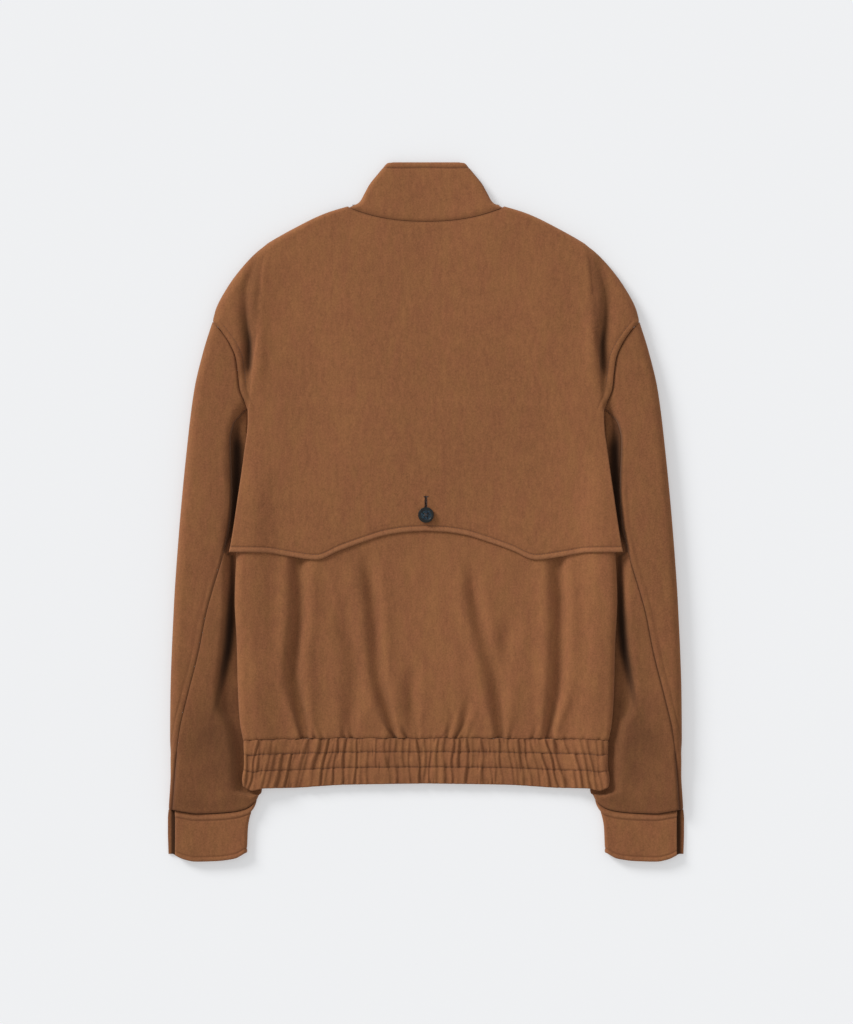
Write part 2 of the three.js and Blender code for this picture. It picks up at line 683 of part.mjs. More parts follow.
function frontPoint(side, column, row) {
  const half = bodyHalf(row);
  const raised = backWithoutFolds(half, row);
  const roll = Math.min(11, 0.8 * (raised - lift(half, row)), 0.45 * (half - frontStart(row)));
  const reach = frontReach(column, row, roll);
  const full = circle(half - reach, roll);
  const onLapEnd = row === neckTop && column.step <= 41;
  const stepped = onLapEnd ? 1 : ease(lap.half + lap.ramp, lap.half + 1, reach);
  const rise = side > 0 ? lap.rise * stepped : 0;
  const z = lift(reach, row) + rise + (bodyEdge(row, raised).under - lift(half, row)) * (1 - full);
  const open = row < shoulderPoint && row > armpit ? armholeSpread(row) : 0;
  const gap = column.turn === 90 ? (cloth.seamGap / 2) * (1 - open) : 0;
  return new THREE.Vector3(side * reach, row - seamDrop(reach, row), z - gap);
}

const sides = [{ hand: 'left', side: -1 }, { hand: 'right', side: 1 }];
for (const { hand, side } of sides) {
  const grid = gridOf(frontRows, frontColumns, (column, row) => frontPoint(side, column, row));
  const normals = gridNormals(grid, side);
  seamNormals(grid, normals, frontRows, frontColumns.length - 1, -1);
  addPiece(`front_${hand}`, closedWall(grid, moved(grid, normals, -cloth.wall)));
}

// Hem bands: the back one is gathered in three tiers over a plain inside, the two front ones are plain.
const bandFoot = reader([
  { across: 0, at: -311.9 },
  { across: 94, at: -313.4 },
  { across: 125, at: -315.2 },
  { across: 152, at: -316.9 },
  { across: 186, at: -317.4 },
  { across: 199, at: -320 },
  { across: 211, at: -315 },
], 'across', 'at');
const bandHalf = reader([
  { down: 0, half: 209.3 },
  { down: 0.5, half: 208.4 },
  { down: 0.85, half: 210.6 },
  { down: 1, half: 209.6 },
], 'down', 'half');

function bandPoint(place, down, surface) {
  const share = Math.abs(place);
  const half = bandHalf(down);
  const core = 0.955;
  const roll = 3.6;
  const reach = rolledAcross(share, core, half, roll);
  const top = hemSeam.at - cloth.seamGap / 2 - hemSeam.sideDrop * (reach / 210) ** 4;
  const y = mix(top, bandFoot(reach), down);
  const full = circle(half - reach, roll);
  const raised = bodyDepth(y) + lift(reach, y);
  const under = lift(reach, y);
  const middle = (bodyDepth(y) + 2 * lift(half, y)) / 2;
  const gap = share === 1 ? cloth.seamGap / 2 : 0;
  const x = Math.sign(place) * reach;
  if (surface === 'back') return new THREE.Vector3(x, y, mix(middle, raised, full) + gap);
  return new THREE.Vector3(x, y, mix(middle, under, full) - gap);
}

const bandColumns = spread(-1, 1, 2 * gathers.count);
const bandRows = [0, 1 / 6, 0.3333, 0.5, 0.6667, 5 / 6, 1];
const bandPlain = gridOf(bandRows, bandColumns, (place, down) => bandPoint(place, down, 'back'));
const bandNormals = gridNormals(bandPlain, -1);
const bandStations = bandRows.map(() => hemSeam.at);
for (const column of [0, bandColumns.length - 1]) seamNormals(bandPlain, bandNormals, bandStations, column, 1);
levelAlong(bandNormals[0]);
const bandOuter = bandPlain.map((row, r) => row.map((p, c) => {
  const stitched = r % 2 === 0 ? 0.25 : 1;
  const crest = c % 2 === 0 ? 0 : 1;
  const edge = Math.min(1, c / 4, (row.length - 1 - c) / 4);
  const uneven = 0.75 + 0.25 * Math.sin(c * 2.4 + r);
  return p.clone().addScaledVector(bandNormals[r][c], gathers.height * crest * stitched * edge * uneven);
}));
addPiece('hem_band_back', closedWall(bandOuter, moved(bandPlain, bandNormals, -cloth.wall)));

for (const { hand, side } of sides) {
  const places = [-0.0957, 0, 0.0957, 0.12, 0.144, 0.35, 0.6, 0.8, 0.955, 0.97, 0.985, 1];
  const grid = [0, 0.5, 1].map((down) => places.map((share) => {
    const p = bandPoint(Math.abs(share), down, 'front');
    const reach = Math.sign(share) * p.x;
    const rise = side > 0 ? lap.rise * ease(lap.half + lap.ramp, lap.half + 1, reach) : 0;
    return new THREE.Vector3(side * reach, p.y, p.z + rise);
  }));
  const normals = gridNormals(grid, side);
  seamNormals(grid, normals, [0, 0.5, 1].map(() => hemSeam.at), places.length - 1, -1);
  levelAlong(normals[0]);
  addPiece(`hem_band_front_${hand}`, closedWall(grid, moved(grid, normals, -cloth.wall)));
}

// Collar: one stand band folded flat, its ends meeting under the middle.
const collarAt = reader(collarSide, 'up', 'at');
const collarHalf = reader(collarSide, 'up', 'half');
const collarHeight = reader(collarSide, 'up', 'height');
function collarPoint(place, up) {
  const share = Math.abs(place) <= 1 ? Math.abs(place) : 2 - Math.abs(place);
  const half = collarHalf(up);
  const roll = 6;
  const core = 0.8;
  const reach = rolledAcross(share, core, half, roll);
  const full = circle(half - reach, roll);
  const onBack = Math.abs(place) <= 1;
  const middle = collarHeight(up) / 2;
  const dip = Math.cos((Math.min(1, reach / half) * Math.PI) / 2) ** 2;
  const clear = mix(0.5, 2, smooth(60, 76, reach));
  const frontFoot = Math.min(349.9, neckEdge(reach + 0.9) + clear);
  const frontTop = mix(collarAt(1), collarDepth.frontTop, Math.sqrt(dip));
  const backCentre = mix(collarDepth.backFoot, collarDepth.backTop, up);
  const backLine = mix(collarAt(up) + 0.3 * (1 - up), backCentre, neckBow(reach / half));
  const y = onBack ? backLine : mix(frontFoot, frontTop, up);
  const z = onBack ? mix(middle, collarHeight(up), full) : mix(middle, 0, full);
  return new THREE.Vector3(Math.sign(place) * Math.max(reach, 0.4), y, z);
}
const collarRows = [0, 0.1, 0.35, 0.65, 0.9, 1];
const collarGrid = gridOf(collarRows, spread(-2, 2, 36), (place, up) => collarPoint(place, up));
const collarNormals = gridNormals(collarGrid, 1);
levelAlong(collarNormals[0]);
addPiece('collar', closedWall(collarGrid, moved(collarGrid, collarNormals, -cloth.collarWall)));

// Sleeves: each a top sleeve round the outer edge and an under sleeve tucked beside the body.
const capRows = [215.5, 206, 190, 172, 150, 134, 118.4];
const tubeRows = [115, 109, 101, 78, 30, -20, -70, -120, -170, -215, -255, -290, -318, -327, -337, -348.4];
const armholeRows = [219.6, 215.5, 206, 190, 172, 150, 134, 118.4];

// The armhole runs straight between the stations of the body's rows.
function armholeLine(y) {
  const i = Math.min(armholeRows.length - 2, Math.max(0, armholeRows.findIndex((row) => row <= y) - 1));
  const share = (y - armholeRows[i]) / (armholeRows[i + 1] - armholeRows[i]);
  return mix(armholeHalf(armholeRows[i]), armholeHalf(armholeRows[i + 1]), share);
}

function seamPlaces(y) {
  if (y >= armpit) {
    const line = armholeLine(y) + cloth.seamGap / 2;
    const nearShoulder = smooth(200, 216, y);
    const cut = line + 0.45 * nearShoulder;
    return { back: ringPlace(cut, y, true), front: ringPlace(cut, y, false) };
  }
  return { back: ringPlace(backSeamHalf(y), y, true), front: ringPlace(frontSeamHalf(y), y, false) };
}

function sleevePoint(side, place, row) {
  const { x, z } = sleeveRing(place, row);
  const toCuff = (cuffSeamAt(x) + 348.4 + 0.55) * ease(-318, -348.4, row);
  return new THREE.Vector3(side * x, row + toCuff, z);
}

function ringNormal(side, place, row) {
  const step = 0.01;
  const across = sleevePoint(side, place + step, row).sub(sleevePoint(side, place - step, row));
  const along = sleevePoint(side, place, row + 0.4).sub(sleevePoint(side, place, row - 0.4));
  const normal = across.cross(along).normalize().multiplyScalar(side);
  return row < -348 ? normal.setY(0).normalize() : normal;
}

// Columns of the top sleeve: close together round the outer edge.
function topPlaces(row) {
  const seam = seamPlaces(row);
  const parted = row < armpit ? 1 : 0;
  const back = seam.back + parted * halfGap(seam.back, row);
  const front = seam.front - parted * halfGap(seam.front, row);
  const fifths = [0.2, 0.4, 0.6, 0.8];
  const over = back < 0.5 ? [(back + 0.55) / 2, 0.55, 0.72, 0.87] : fifths.map((t) => mix(back, 1, t));
  const below = front > 1.6 ? [1.14, 1.3, 1.48, (1.48 + front) / 2] : fifths.map((t) => mix(1, front, t));
  return [back, ...over, 1, ...below, front];
}

// Columns of the under sleeve: close together at the tucked edge and where the sleeve turns down beside the body.
function underPlaces(row) {
  const seam = seamPlaces(row);
  const back = seam.back - halfGap(seam.back, row);
  const front = seam.front + halfGap(seam.front, row);
  const low = sleeveInner(row) + sleeveRoll.inner + 0.2;
  const high = sleeveRing(back, row).x;
  const turn = turnHalf(row);
  const wanted = [turn - 8.5, turn - 3, turn + 3, turn + 9, (turn + high) / 2, high - 9];
  const tops = wanted.map((x, i) => {
    const most = high - (high - low) * (1 - (i + 1) / 7);
    return ringPlace(Math.max(Math.min(x, most), low + 0.5 * i), row, true);
  });
  return [front - 4, (front - 5.4) / 2, -1.35, -1.15, -1, -0.85, ...tops, back];
}

// At the armhole the sleeve's edge is cut the way the body's is, so the two rims stand side by side.
function armholeNormal(side, row, upward) {
  const bend = armholeHalf(row + 1) - armholeHalf(row - 1);
  const open = armholeSpread(row);
  const out = new THREE.Vector3(side * 2, -bend, 0).normalize();
  return out.multiplyScalar(1 - open).setZ(open * upward).normalize();
}

function sleevePiece(side, rows, placesAt) {
  const outer = [];
  const inner = [];
  for (const row of rows) {
    const places = placesAt(row);
    const points = places.map((place) => sleevePoint(side, place, row));
    outer.push(points);
    const normals = places.map((place) => ringNormal(side, place, row));
    if (row > armpit) {
      normals[0] = armholeNormal(side, row, 1);
      normals[places.length - 1] = armholeNormal(side, row, -1);
    }
    inner.push(points.map((p, i) => p.clone().addScaledVector(normals[i], -cloth.wall)));
  }
  return closedWall(outer, inner);
}

// Part of a place that stands for half a seam gap along the ring.
function halfGap(place, row) {
  const step = 0.01;
  const a = sleeveRing(place - step, row);
  const b = sleeveRing(place + step, row);
  return (cloth.seamGap / 2) * ((2 * step) / Math.hypot(b.x - a.x, b.z - a.z));
}

for (const { hand, side } of sides) {
  addPiece(`sleeve_top_${hand}`, sleevePiece(side, [...capRows, ...tubeRows], topPlaces));
  addPiece(`sleeve_under_${hand}`, sleevePiece(side, tubeRows, underPlaces));
}

// Cuffs: a band round the wrist, its free end over the wrap that shows past it at the outer side.
const cuffInner = reader(cuffSides, 'down', 'inner');
const cuffTopEnd = reader(cuffSides, 'down', 'top');
const cuffWrap = reader(cuffSides, 'down', 'wrap');

function cuffPoint(side, place, down) {
  const onTop = place <= 1;
  const share = onTop ? place : 2 - place;
  const roll = 4.4;
  const inner = cuffInner(down);
  const end = onTop ? cuffTopEnd(down) : cuffWrap(down);
  const core = 0.65;
  const turn = ((share - core) / (1 - core)) * (Math.PI / 2);
  const x = share <= core ? mix(end, inner + roll, share / core) : inner + roll - roll * Math.sin(turn);
  const full = circle(x - inner, roll);
  const height = mix(cuffLaid.height, cuffLaid.endHeight, smooth(262, 291, x));
  const z = onTop ? mix(cuffLaid.height / 2, height, full) : mix(cuffLaid.height / 2, 0, full);
  const y = mix(cuffSeamAt(x) - cloth.seamGap / 2, cuffFootAt(x), down);
  return new THREE.Vector3(side * x, y, z);
}

for (const { hand, side } of sides) {
  const grid = gridOf([0, 0.2, 0.45, 0.8, 1], spread(0, 2, 22), (place, down) => cuffPoint(side, place, down));
  const normals = gridNormals(grid, side);
  levelAlong(normals[0]);
  addPiece(`cuff_${hand}`, closedWall(grid, moved(grid, normals, -cloth.cuffWall)));
}

export default group;
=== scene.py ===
import json
import math

import bmesh
import bpy
import numpy as np
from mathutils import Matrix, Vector
from mathutils.bvhtree import BVHTree

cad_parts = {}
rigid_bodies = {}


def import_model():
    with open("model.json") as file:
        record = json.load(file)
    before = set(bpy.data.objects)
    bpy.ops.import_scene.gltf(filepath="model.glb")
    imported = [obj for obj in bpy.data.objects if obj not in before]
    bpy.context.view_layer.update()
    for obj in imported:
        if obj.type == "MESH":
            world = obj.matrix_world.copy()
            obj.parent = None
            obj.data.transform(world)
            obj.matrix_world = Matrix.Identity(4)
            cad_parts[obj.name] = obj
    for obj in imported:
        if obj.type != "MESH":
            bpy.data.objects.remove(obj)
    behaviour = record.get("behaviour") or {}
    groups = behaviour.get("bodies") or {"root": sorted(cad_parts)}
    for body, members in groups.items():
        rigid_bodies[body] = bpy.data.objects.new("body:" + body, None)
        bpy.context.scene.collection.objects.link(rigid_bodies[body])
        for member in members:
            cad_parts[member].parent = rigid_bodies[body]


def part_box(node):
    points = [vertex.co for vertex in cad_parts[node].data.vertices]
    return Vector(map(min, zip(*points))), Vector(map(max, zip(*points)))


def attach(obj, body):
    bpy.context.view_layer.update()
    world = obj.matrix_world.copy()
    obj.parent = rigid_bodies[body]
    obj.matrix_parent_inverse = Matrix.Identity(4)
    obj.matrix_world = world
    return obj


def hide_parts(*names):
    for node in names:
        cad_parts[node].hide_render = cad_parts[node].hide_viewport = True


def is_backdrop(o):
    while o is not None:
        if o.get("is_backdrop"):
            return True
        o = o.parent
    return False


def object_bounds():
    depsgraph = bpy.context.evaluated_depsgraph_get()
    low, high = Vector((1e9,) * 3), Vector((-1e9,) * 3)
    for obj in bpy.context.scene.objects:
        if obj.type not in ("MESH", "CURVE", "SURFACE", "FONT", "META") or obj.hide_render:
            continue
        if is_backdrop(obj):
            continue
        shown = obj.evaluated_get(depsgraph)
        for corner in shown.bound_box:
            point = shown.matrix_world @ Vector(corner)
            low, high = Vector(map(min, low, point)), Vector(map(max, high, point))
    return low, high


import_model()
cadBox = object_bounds()

cloth = {
    "wall": 1.8,  # suede with its seam allowance pressed flat
    "seamGap": 0.3,
    "layerGap": 0.4,
    "flapWall": 2.0,
    "collarWall": 2.6,
    "cuffWall": 2.3,
}


# Smooth value read between the rows of a table, with no overshoot.
def reader(table, key, column):
    order = np.argsort(table[key])
    x = np.array(table[key], float)[order]
    y = np.array(table[column], float)[order]
    rise = np.diff(y) / np.diff(x)
    slope = np.zeros(len(x))
    slope[0] = rise[0]
    slope[-1] = rise[-1]
    for i in range(1, len(x) - 1):
        if rise[i - 1] * rise[i] > 0:
            slope[i] = 2 * rise[i - 1] * rise[i] / (rise[i - 1] + rise[i])

    def value(at):
        at = np.clip(at, x[0], x[-1])
        i = np.clip(np.searchsorted(x, at) - 1, 0, len(x) - 2)
        span = x[i + 1] - x[i]
        t = (at - x[i]) / span
        rest = 1 - t
        left = y[i] * (1 + 2 * t) * rest**2 + slope[i] * span * t * rest**2
        right = y[i + 1] * t**2 * (3 - 2 * t) - slope[i + 1] * span * t**2 * rest
        return left + right

    return value


def smooth(start, end, value):
    t = np.clip((value - start) / (end - start), 0, 1)
    return t * t * (3 - 2 * t)


def ease(start, end, value):
    return smooth(start, end, value) if start < end else 1 - smooth(end, start, value)


def mix(a, b, t):
    return a + (b - a) * t


def bump(distance, width):
    return np.exp(-((distance / width) ** 2))


def circle(distance, radius):
    near = np.clip(1 - np.maximum(distance, 0) / radius, 0, 1)
    return np.sqrt(1 - near**2)


# Outline of the body: shoulder, armhole and side.
shoulder = {
    "at": (219.6, 232.3, 255.3, 278.3, 301.3, 330, 341.5, 349.6),
    "half": (244.9, 241.5, 229.4, 212.7, 189.7, 140.9, 115.6, 89.1),
}
armhole = {
    "at": (118.4, 128.8, 141.4, 162.1, 177.1, 193.2, 207, 219.6),
    "half": (204.7, 209.3, 213.9, 216.2, 218.5, 225.4, 234.6, 244.9),
}
bodySide = {
    "at": (-260, -238, -197.8, -149.5, -101.2, -46, 13.8, 59.8, 94.3, 118.4),
    "half": (209.9, 213.9, 216.2, 217.3, 219.6, 217.3, 210.4, 206.4, 204.7, 204.7),
    "middle": (8.1, 8.6, 9.8, 10.6, 10.8, 10.6, 10, 8.6, 7.4, 7),
}
fullness = {
    "at": (-320, -260, -235, -190, -100, 0, 110, 200, 290, 349.6),
    "depth": (6.7, 7.2, 8.6, 10.8, 11.8, 11.4, 11.6, 12, 11.2, 9.4),
}
shoulderHalf = reader(shoulder, "at", "half")
armholeHalf = reader(armhole, "at", "half")
sideHalf = reader(bodySide, "at", "half")
sideMiddle = reader(bodySide, "at", "middle")
bodyDepth = reader(fullness, "at", "depth")
shoulderPoint = 219.6
armpit = 118.4
shoulderMiddle = 6.4
ringCore = 19 / 22
neck = {"backDip": 16, "half": 89.1, "frontAt": 297.8}
hemSeam = {"at": -260, "sideDrop": 2.3}
lap = {"half": 20, "rise": 2.15, "ramp": 9}

# The sleeve: outer edge, line where it turns down beside the body, edge tucked under the body, and seams.
sleeveOuter = {
    "at": (-348.4, -328, -300, -262.2, -216.2, -112.7, -20.7, 71.3, 140.3, 186.3, 219.6),
    "half": (295.4, 294.4, 293, 293.9, 293.6, 289.8, 283.5, 274.8, 266.2, 255.3, 244.9),
    "height": (10.4, 13.2, 15, 15.8, 16.4, 16.6, 16.4, 16, 15, 14.2, 12.5),
}
sleeveTurn = {
    "at": (
        -337, -327, -319, -280, -244.9, -224, -204.7, -158.7,
        -101.2, -55.2, -27.6, 15, 48.3, 81.6, 102.3, 118.4,
    ),
    "half": (
        192, 204, 218.5, 220, 226.5, 237, 238, 232.9,
        228.6, 228.8, 227.1, 221.6, 224.2, 224.2, 220.8, 213.9,
    ),
}
sleeveTuck = {
    "at": (-348.4, -334, -318, -273.7, -216.2, -158.7, -101.2, 13.8, 71.3, 108, 118.4),
    "half": (193.9, 190.9, 188.6, 195.5, 201.2, 204.7, 207, 206, 205.4, 204.4, 203.5),
    "height": (9.4, 7, 4.8, 4.8, 4.8, 4.8, 4.8, 4.8, 4.8, 4.9, 5.2),
}
sleeveBackSeam = {
    "at": (
        -348.4, -302.4, -276, -250.7, -213.9, -161, -115, -86.2,
        -43.7, -6.9, 25.3, 81.6, 102.3, 110.4, 118.4,
    ),
    "half": (
        292, 289, 286.2, 282.9, 274.3, 261, 251.8, 243.8,
        231.1, 224.1, 222, 223.8, 219.5, 212.6, 204.7,
    ),
}
sleeveFrontSeam = {"at": (-348.4, -200, -40, 70, 104, 118.4), "half": (240, 238, 232, 224, 216, 204.7)}
outerHalf = reader(sleeveOuter, "at", "half")
sleeveHeight = reader(sleeveOuter, "at", "height")
turnHalf = reader(sleeveTurn, "at", "half")
tuckHalf = reader(sleeveTuck, "at", "half")
tuckHeight = reader(sleeveTuck, "at", "height")
backSeamHalf = reader(sleeveBackSeam, "at", "half")
frontSeamHalf = reader(sleeveFrontSeam, "at", "half")

# Soft valley of the laid cloth beside each armhole, steep on the side of the flap, with how strong the
# painted shade in it is.
armholeValley = {
    "at": (134.5, 154.1, 169, 190.9, 221.9, 246.1, 281.8, 300),
    "half": (206, 204.5, 203, 202.4, 205.8, 207, 198.9, 196),
    "depth": (0, 2.8, 6.2, 6.8, 5.4, 3.6, 2.2, 0),
    "shade": (0.05, 0.3, 0.75, 0.85, 0.5, 0.3, 0.18, 0),
}
valleyHalf = reader(armholeValley, "at", "half")
valleyDepth = reader(armholeValley, "at", "depth")
valleyShade = reader(armholeValley, "at", "shade")

# Folds down the lower back: where each one runs across at the flap, twice below it, and at the hem seam.
foldStations = (-250, -182, -113, -55)
folds = {
    "leftSide": {"path": (-139.1, -151.8, -146, -147.4), "depth": 7.0, "width": 8, "starts": -30},
    "leftSoft": {"path": (-87.4, -81.6, -95.4, -95.4), "depth": 3.2, "width": 11, "starts": -110},
    "leftInner": {"path": (-37.9, -56.3, -60.9, -69), "depth": 5.0, "width": 7.5, "starts": -50},
    "middle": {"path": (-17.2, -17.2, -19.5, -19.5), "depth": 2.6, "width": 8, "starts": -170},
    "rightInner": {"path": (85.1, 74.8, 57.5, 50.6), "depth": 4.6, "width": 7.5, "starts": -60},
    "rightSoft": {"path": (83.9, 86.2, 96.6, 98.9), "depth": 2.6, "width": 10, "starts": -115},
    "rightFoot": {"path": (41.4, 52.9, 55.2, 59.8), "depth": 3.2, "width": 6.5, "starts": -215},
    "rightSide": {"path": (141.4, 151.8, 152.9, 150.1), "depth": 7.0, "width": 8, "starts": -30},
}
for fold in folds.values():
    fold["line"] = reader({"at": foldStations, "across": fold["path"]}, "at", "across")

# Short puckers that the elastic pulls into the cloth above the hem seam: place, lean, height, depth.
puckers = {
    "across": (
        -193, -171, -128, -118, -94, -85, -36, -22, -10, 6,
        24, 34, 48, 86, 97, 122, 133, 160, 181, 199,
    ),
    "lean": (2, 3, 4, 5, 2, 3, 9, 8, 3, -2, -6, -9, -5, -4, -3, -6, -5, -3, -2, -3),
    "tall": (9, 10, 20, 15, 22, 14, 30, 24, 34, 14, 26, 22, 12, 15, 14, 18, 12, 12, 9, 8),
    "deep": (
        0.7, 0.6, 1.3, 1, 1.2, 0.9, 1.7, 1.5, 1.1, 0.6,
        1.5, 1.3, 0.8, 1.1, 1, 1.2, 0.8, 0.8, 0.6, 0.7,
    ),
}

# Sharp tucks at the foot of the folds, drawn in by the hem seam: place, sideways drift, height, depth.
tucks = {
    "foot": (-142, -126, -98, -84, -34.5, -20.7, 17.3, 33.4, 83, 96, 125, 138.6),
    "drift": (-10.5, -5, 2, -7, -22, -9, 9, 11, 4, -4, 7, 7.5),
    "tall": (50, 10, 14, 11, 44, 16, 17, 28, 12, 14, 11, 48),
    "deep": (1, 0.45, 0.6, 0.5, 1, 0.7, 0.7, 1, 0.5, 0.6, 0.4, 1),
}
tuckFoot = 1.5  # half width at the seam
tuckWidens = 2.2  # by its top


def tucked(x, y):
    above = y - hemSeam["at"]
    total = 0
    for foot, drift, tall, deep in zip(*tucks.values()):
        share = np.clip(above / tall, 0, 1)
        off = x - foot - drift * np.sin(share * math.pi / 2)
        total = total + deep * bump(off, tuckFoot + tuckWidens * share) * (1 - share)
    return total


# Gentle waviness of laid cloth, between about -1 and 1.
def unevenness(x, y, seed, size, waves=9):
    chance = np.random.default_rng(seed)
    total = 0
    for _ in range(waves):
        angle = chance.uniform(0, math.tau)
        length = size * chance.uniform(0.6, 1.8)
        phase = chance.uniform(0, math.tau)
        along = x * math.cos(angle) + y * math.sin(angle)
        total = total + np.sin(along / length * math.tau + phase)
    return total / math.sqrt(waves * 2)


def lift(x, y):
    tucked = tuckHalf(y)
    return 5.2 * smooth(tucked - 38, tucked - 3, np.abs(x)) * ease(78, 10, y)


def bodyHalf(y):
    room = (cloth["flapWall"] + cloth["layerGap"]) * (1 - armholeSpread(y)) * smooth(180, shoulderPoint, y)
    low = np.where(y >= armpit, armholeHalf(y) - cloth["seamGap"] / 2 - room, sideHalf(y))
    return np.where(y >= shoulderPoint, shoulderHalf(y) - cloth["flapWall"] - cloth["layerGap"], low)


def backWithoutFolds(x, y):
    side = np.abs(x)
    fuller = 1.1 * bump(side - (bodyHalf(y) - 34), 30) * ease(-250, -190, y) * ease(330, 270, y)
    off = side - valleyHalf(y)
    valley = valleyDepth(y) * bump(off, np.where(off < 0, 5, 8.5))
    crest = 0.3 * valleyDepth(y) * bump(off + 12, 7)
    soft = 0.35 * unevenness(x, y, 3, 120) * ease(340, 300, y) * ease(-240, -180, y)
    return bodyDepth(y) + lift(x, y) + fuller - valley + crest + soft * smooth(0, 30, bodyHalf(y) - side)


def lapUnder(x):
    return lap["rise"] * ease(lap["half"] + lap["ramp"] + 2, lap["half"] + 1, np.abs(x))


def backSurface(x, y):
    height = backWithoutFolds(x, y)
    for fold in folds.values():
        begins = ease(fold["starts"] + 12, fold["starts"] - 34, y)
        fades = mix(1, 0.6, smooth(-225, -256, y))
        off = x - fold["line"](y)
        width = fold["width"] * mix(1, 0.6, ease(-195, -255, y))
        height = height - fold["depth"] * begins * fades * bump(off, width)
        beside = 0.3 * fold["depth"] * begins * fades * ease(-40, -95, y)
        height = height + beside * bump(np.abs(off) - 1.9 * width, 1.1 * width)
    above = y - hemSeam["at"]
    for across, lean, tall, deep in zip(*puckers.values()):
        off = x - across + lean * above / tall
        height = height - 1.35 * deep * bump(off, 1.5 + 0.12 * above) * np.exp(-above / (0.55 * tall))
        beside = bump(np.abs(off) - 4 - 0.1 * above, 2.4) * np.exp(-above / (0.5 * tall))
        height = height + 0.5 * deep * beside
    height = height + 0.3 * unevenness(x * 1.6, y * 0.5, 11, 40) * ease(-40, -90, y) * ease(-257, -235, y)
    return np.maximum(height, lift(x, y) + 2 * cloth["wall"] + 0.7 + lapUnder(x))


# Painted shade down each fold, darkest low in the trough, and beside each pucker.
def troughShade(x, y):
    total = 0
    for fold in folds.values():
        begins = ease(fold["starts"] + 8, fold["starts"] - 60, y)
        off = x - fold["line"](y) - 2.6
        width = fold["width"] * mix(0.6, 0.34, ease(-195, -250, y))
        total = total + 0.036 * fold["depth"] * begins * bump(off, width)
    above = y - hemSeam["at"]
    for across, lean, tall, deep in zip(*puckers.values()):
        off = x - across + lean * above / tall
        total = total + 0.22 * deep * bump(off, 1.3 + 0.06 * above) * np.exp(-above / (0.5 * tall))
    return np.clip(total, 0, 0.55)


# Height of the seam that closes the body's ring: back edge and front edge.
def bodyEdge(y, raised):
    spread = armholeSpread(y)
    middle = mix(shoulderMiddle, sideMiddle(armpit), smooth(shoulderPoint, armpit, y))
    level = lift(bodyHalf(y), y)
    top = np.where(y >= armpit, mix(middle, raised, spread), sideMiddle(y))
    under = np.where(y >= armpit, mix(middle, level, spread), sideMiddle(y))
    top = np.where(y >= shoulderPoint, shoulderMiddle, top)
    return top, np.where(y >= shoulderPoint, shoulderMiddle, under)


def armholeSpread(y):
    return circle(outerHalf(y) - armholeHalf(y), 11) * circle(y - armpit, 16)


def bodyPoint(place, y):
    share = np.abs(place)
    half = bodyHalf(y)
    raised = backWithoutFolds(half, y)
    top, _ = bodyEdge(y, raised)
    roll = np.minimum(11, 0.65 * (raised - lift(half, y)) * 1.25)
    turn = (share - ringCore) / (1 - ringCore) * math.pi / 2
    aroundRoll = half - roll + roll * np.sin(turn)
    across = np.where(share <= ringCore, (half - roll) * share / ringCore, aroundRoll)
    full = circle(half - across, roll)
    x = np.sign(place) * across
    return x, backSurface(x, y) - (raised - top) * (1 - full)


# Bow of the neck seam, full at the middle and nothing at its ends.
def neckBow(share):
    return 1 - np.minimum(1, share) ** 2.3


def neckDip(x, row):
    return neck["backDip"] * neckBow(np.abs(x) / neck["half"]) * ease(262, 349, row)


# The elastic pulls the hem seam of the back slightly in and out of line.
def seamWave(x):
    return 0.55 * unevenness(x, 0, 19, 20) * ease(205, 180, np.abs(x))


def seamDrop(x, row):
    return hemSeam["sideDrop"] * (np.abs(x) / 210) ** 4 * ease(-200, -260, row)


# Unit normals of a grid of points, turned to face out of the garment.
def gridNormals(grid, outward):
    across = np.gradient(grid, axis=1)
    along = np.gradient(grid, axis=0)
    normal = np.cross(across, along) * outward
    return normal / np.maximum(np.linalg.norm(normal, axis=2, keepdims=True), 1e-9)


def unit(vectors):
    return vectors / np.maximum(np.linalg.norm(vectors, axis=-1, keepdims=True), 1e-9)


# The wall is cut level at the turned side of the body, and upright at the armhole.
def seamNormals(grid, normals, rows, column, upward):
    along = np.gradient(grid[:, column], axis=0)
    out = unit(np.stack([-along[:, 1], along[:, 0], np.zeros(len(rows))], axis=1))
    out *= np.sign(out[:, :1] * grid[:, column, :1])
    inArmhole = (rows < shoulderPoint) & (rows > armpit)
    spread = np.where(inArmhole, armholeSpread(rows), 0)[:, None]
    normals[:, column] = unit(out * (1 - spread) + np.array([0, 0, upward]) * spread)


def levelAlong(normals):
    normals[:, 1] = 0
    normals[:] = unit(normals)


def stack(x, y, z):
    return np.stack(np.broadcast_arrays(x, y, z), axis=2).astype(float)


def asMesh(name, points, faces, material, shades=None):
    mesh = bpy.data.meshes.new(name)
    mesh.from_pydata((points / 1000).tolist(), [], faces.tolist())
    mesh.materials.append(material)
    for shade, values in (shades or {}).items():
        mesh.attributes.new(shade, "FLOAT", "POINT").data.foreach_set("value", values.astype(np.float32))
    mesh.shade_smooth()
    piece = bpy.data.objects.new(name, mesh)
    bpy.context.collection.objects.link(piece)
    return piece
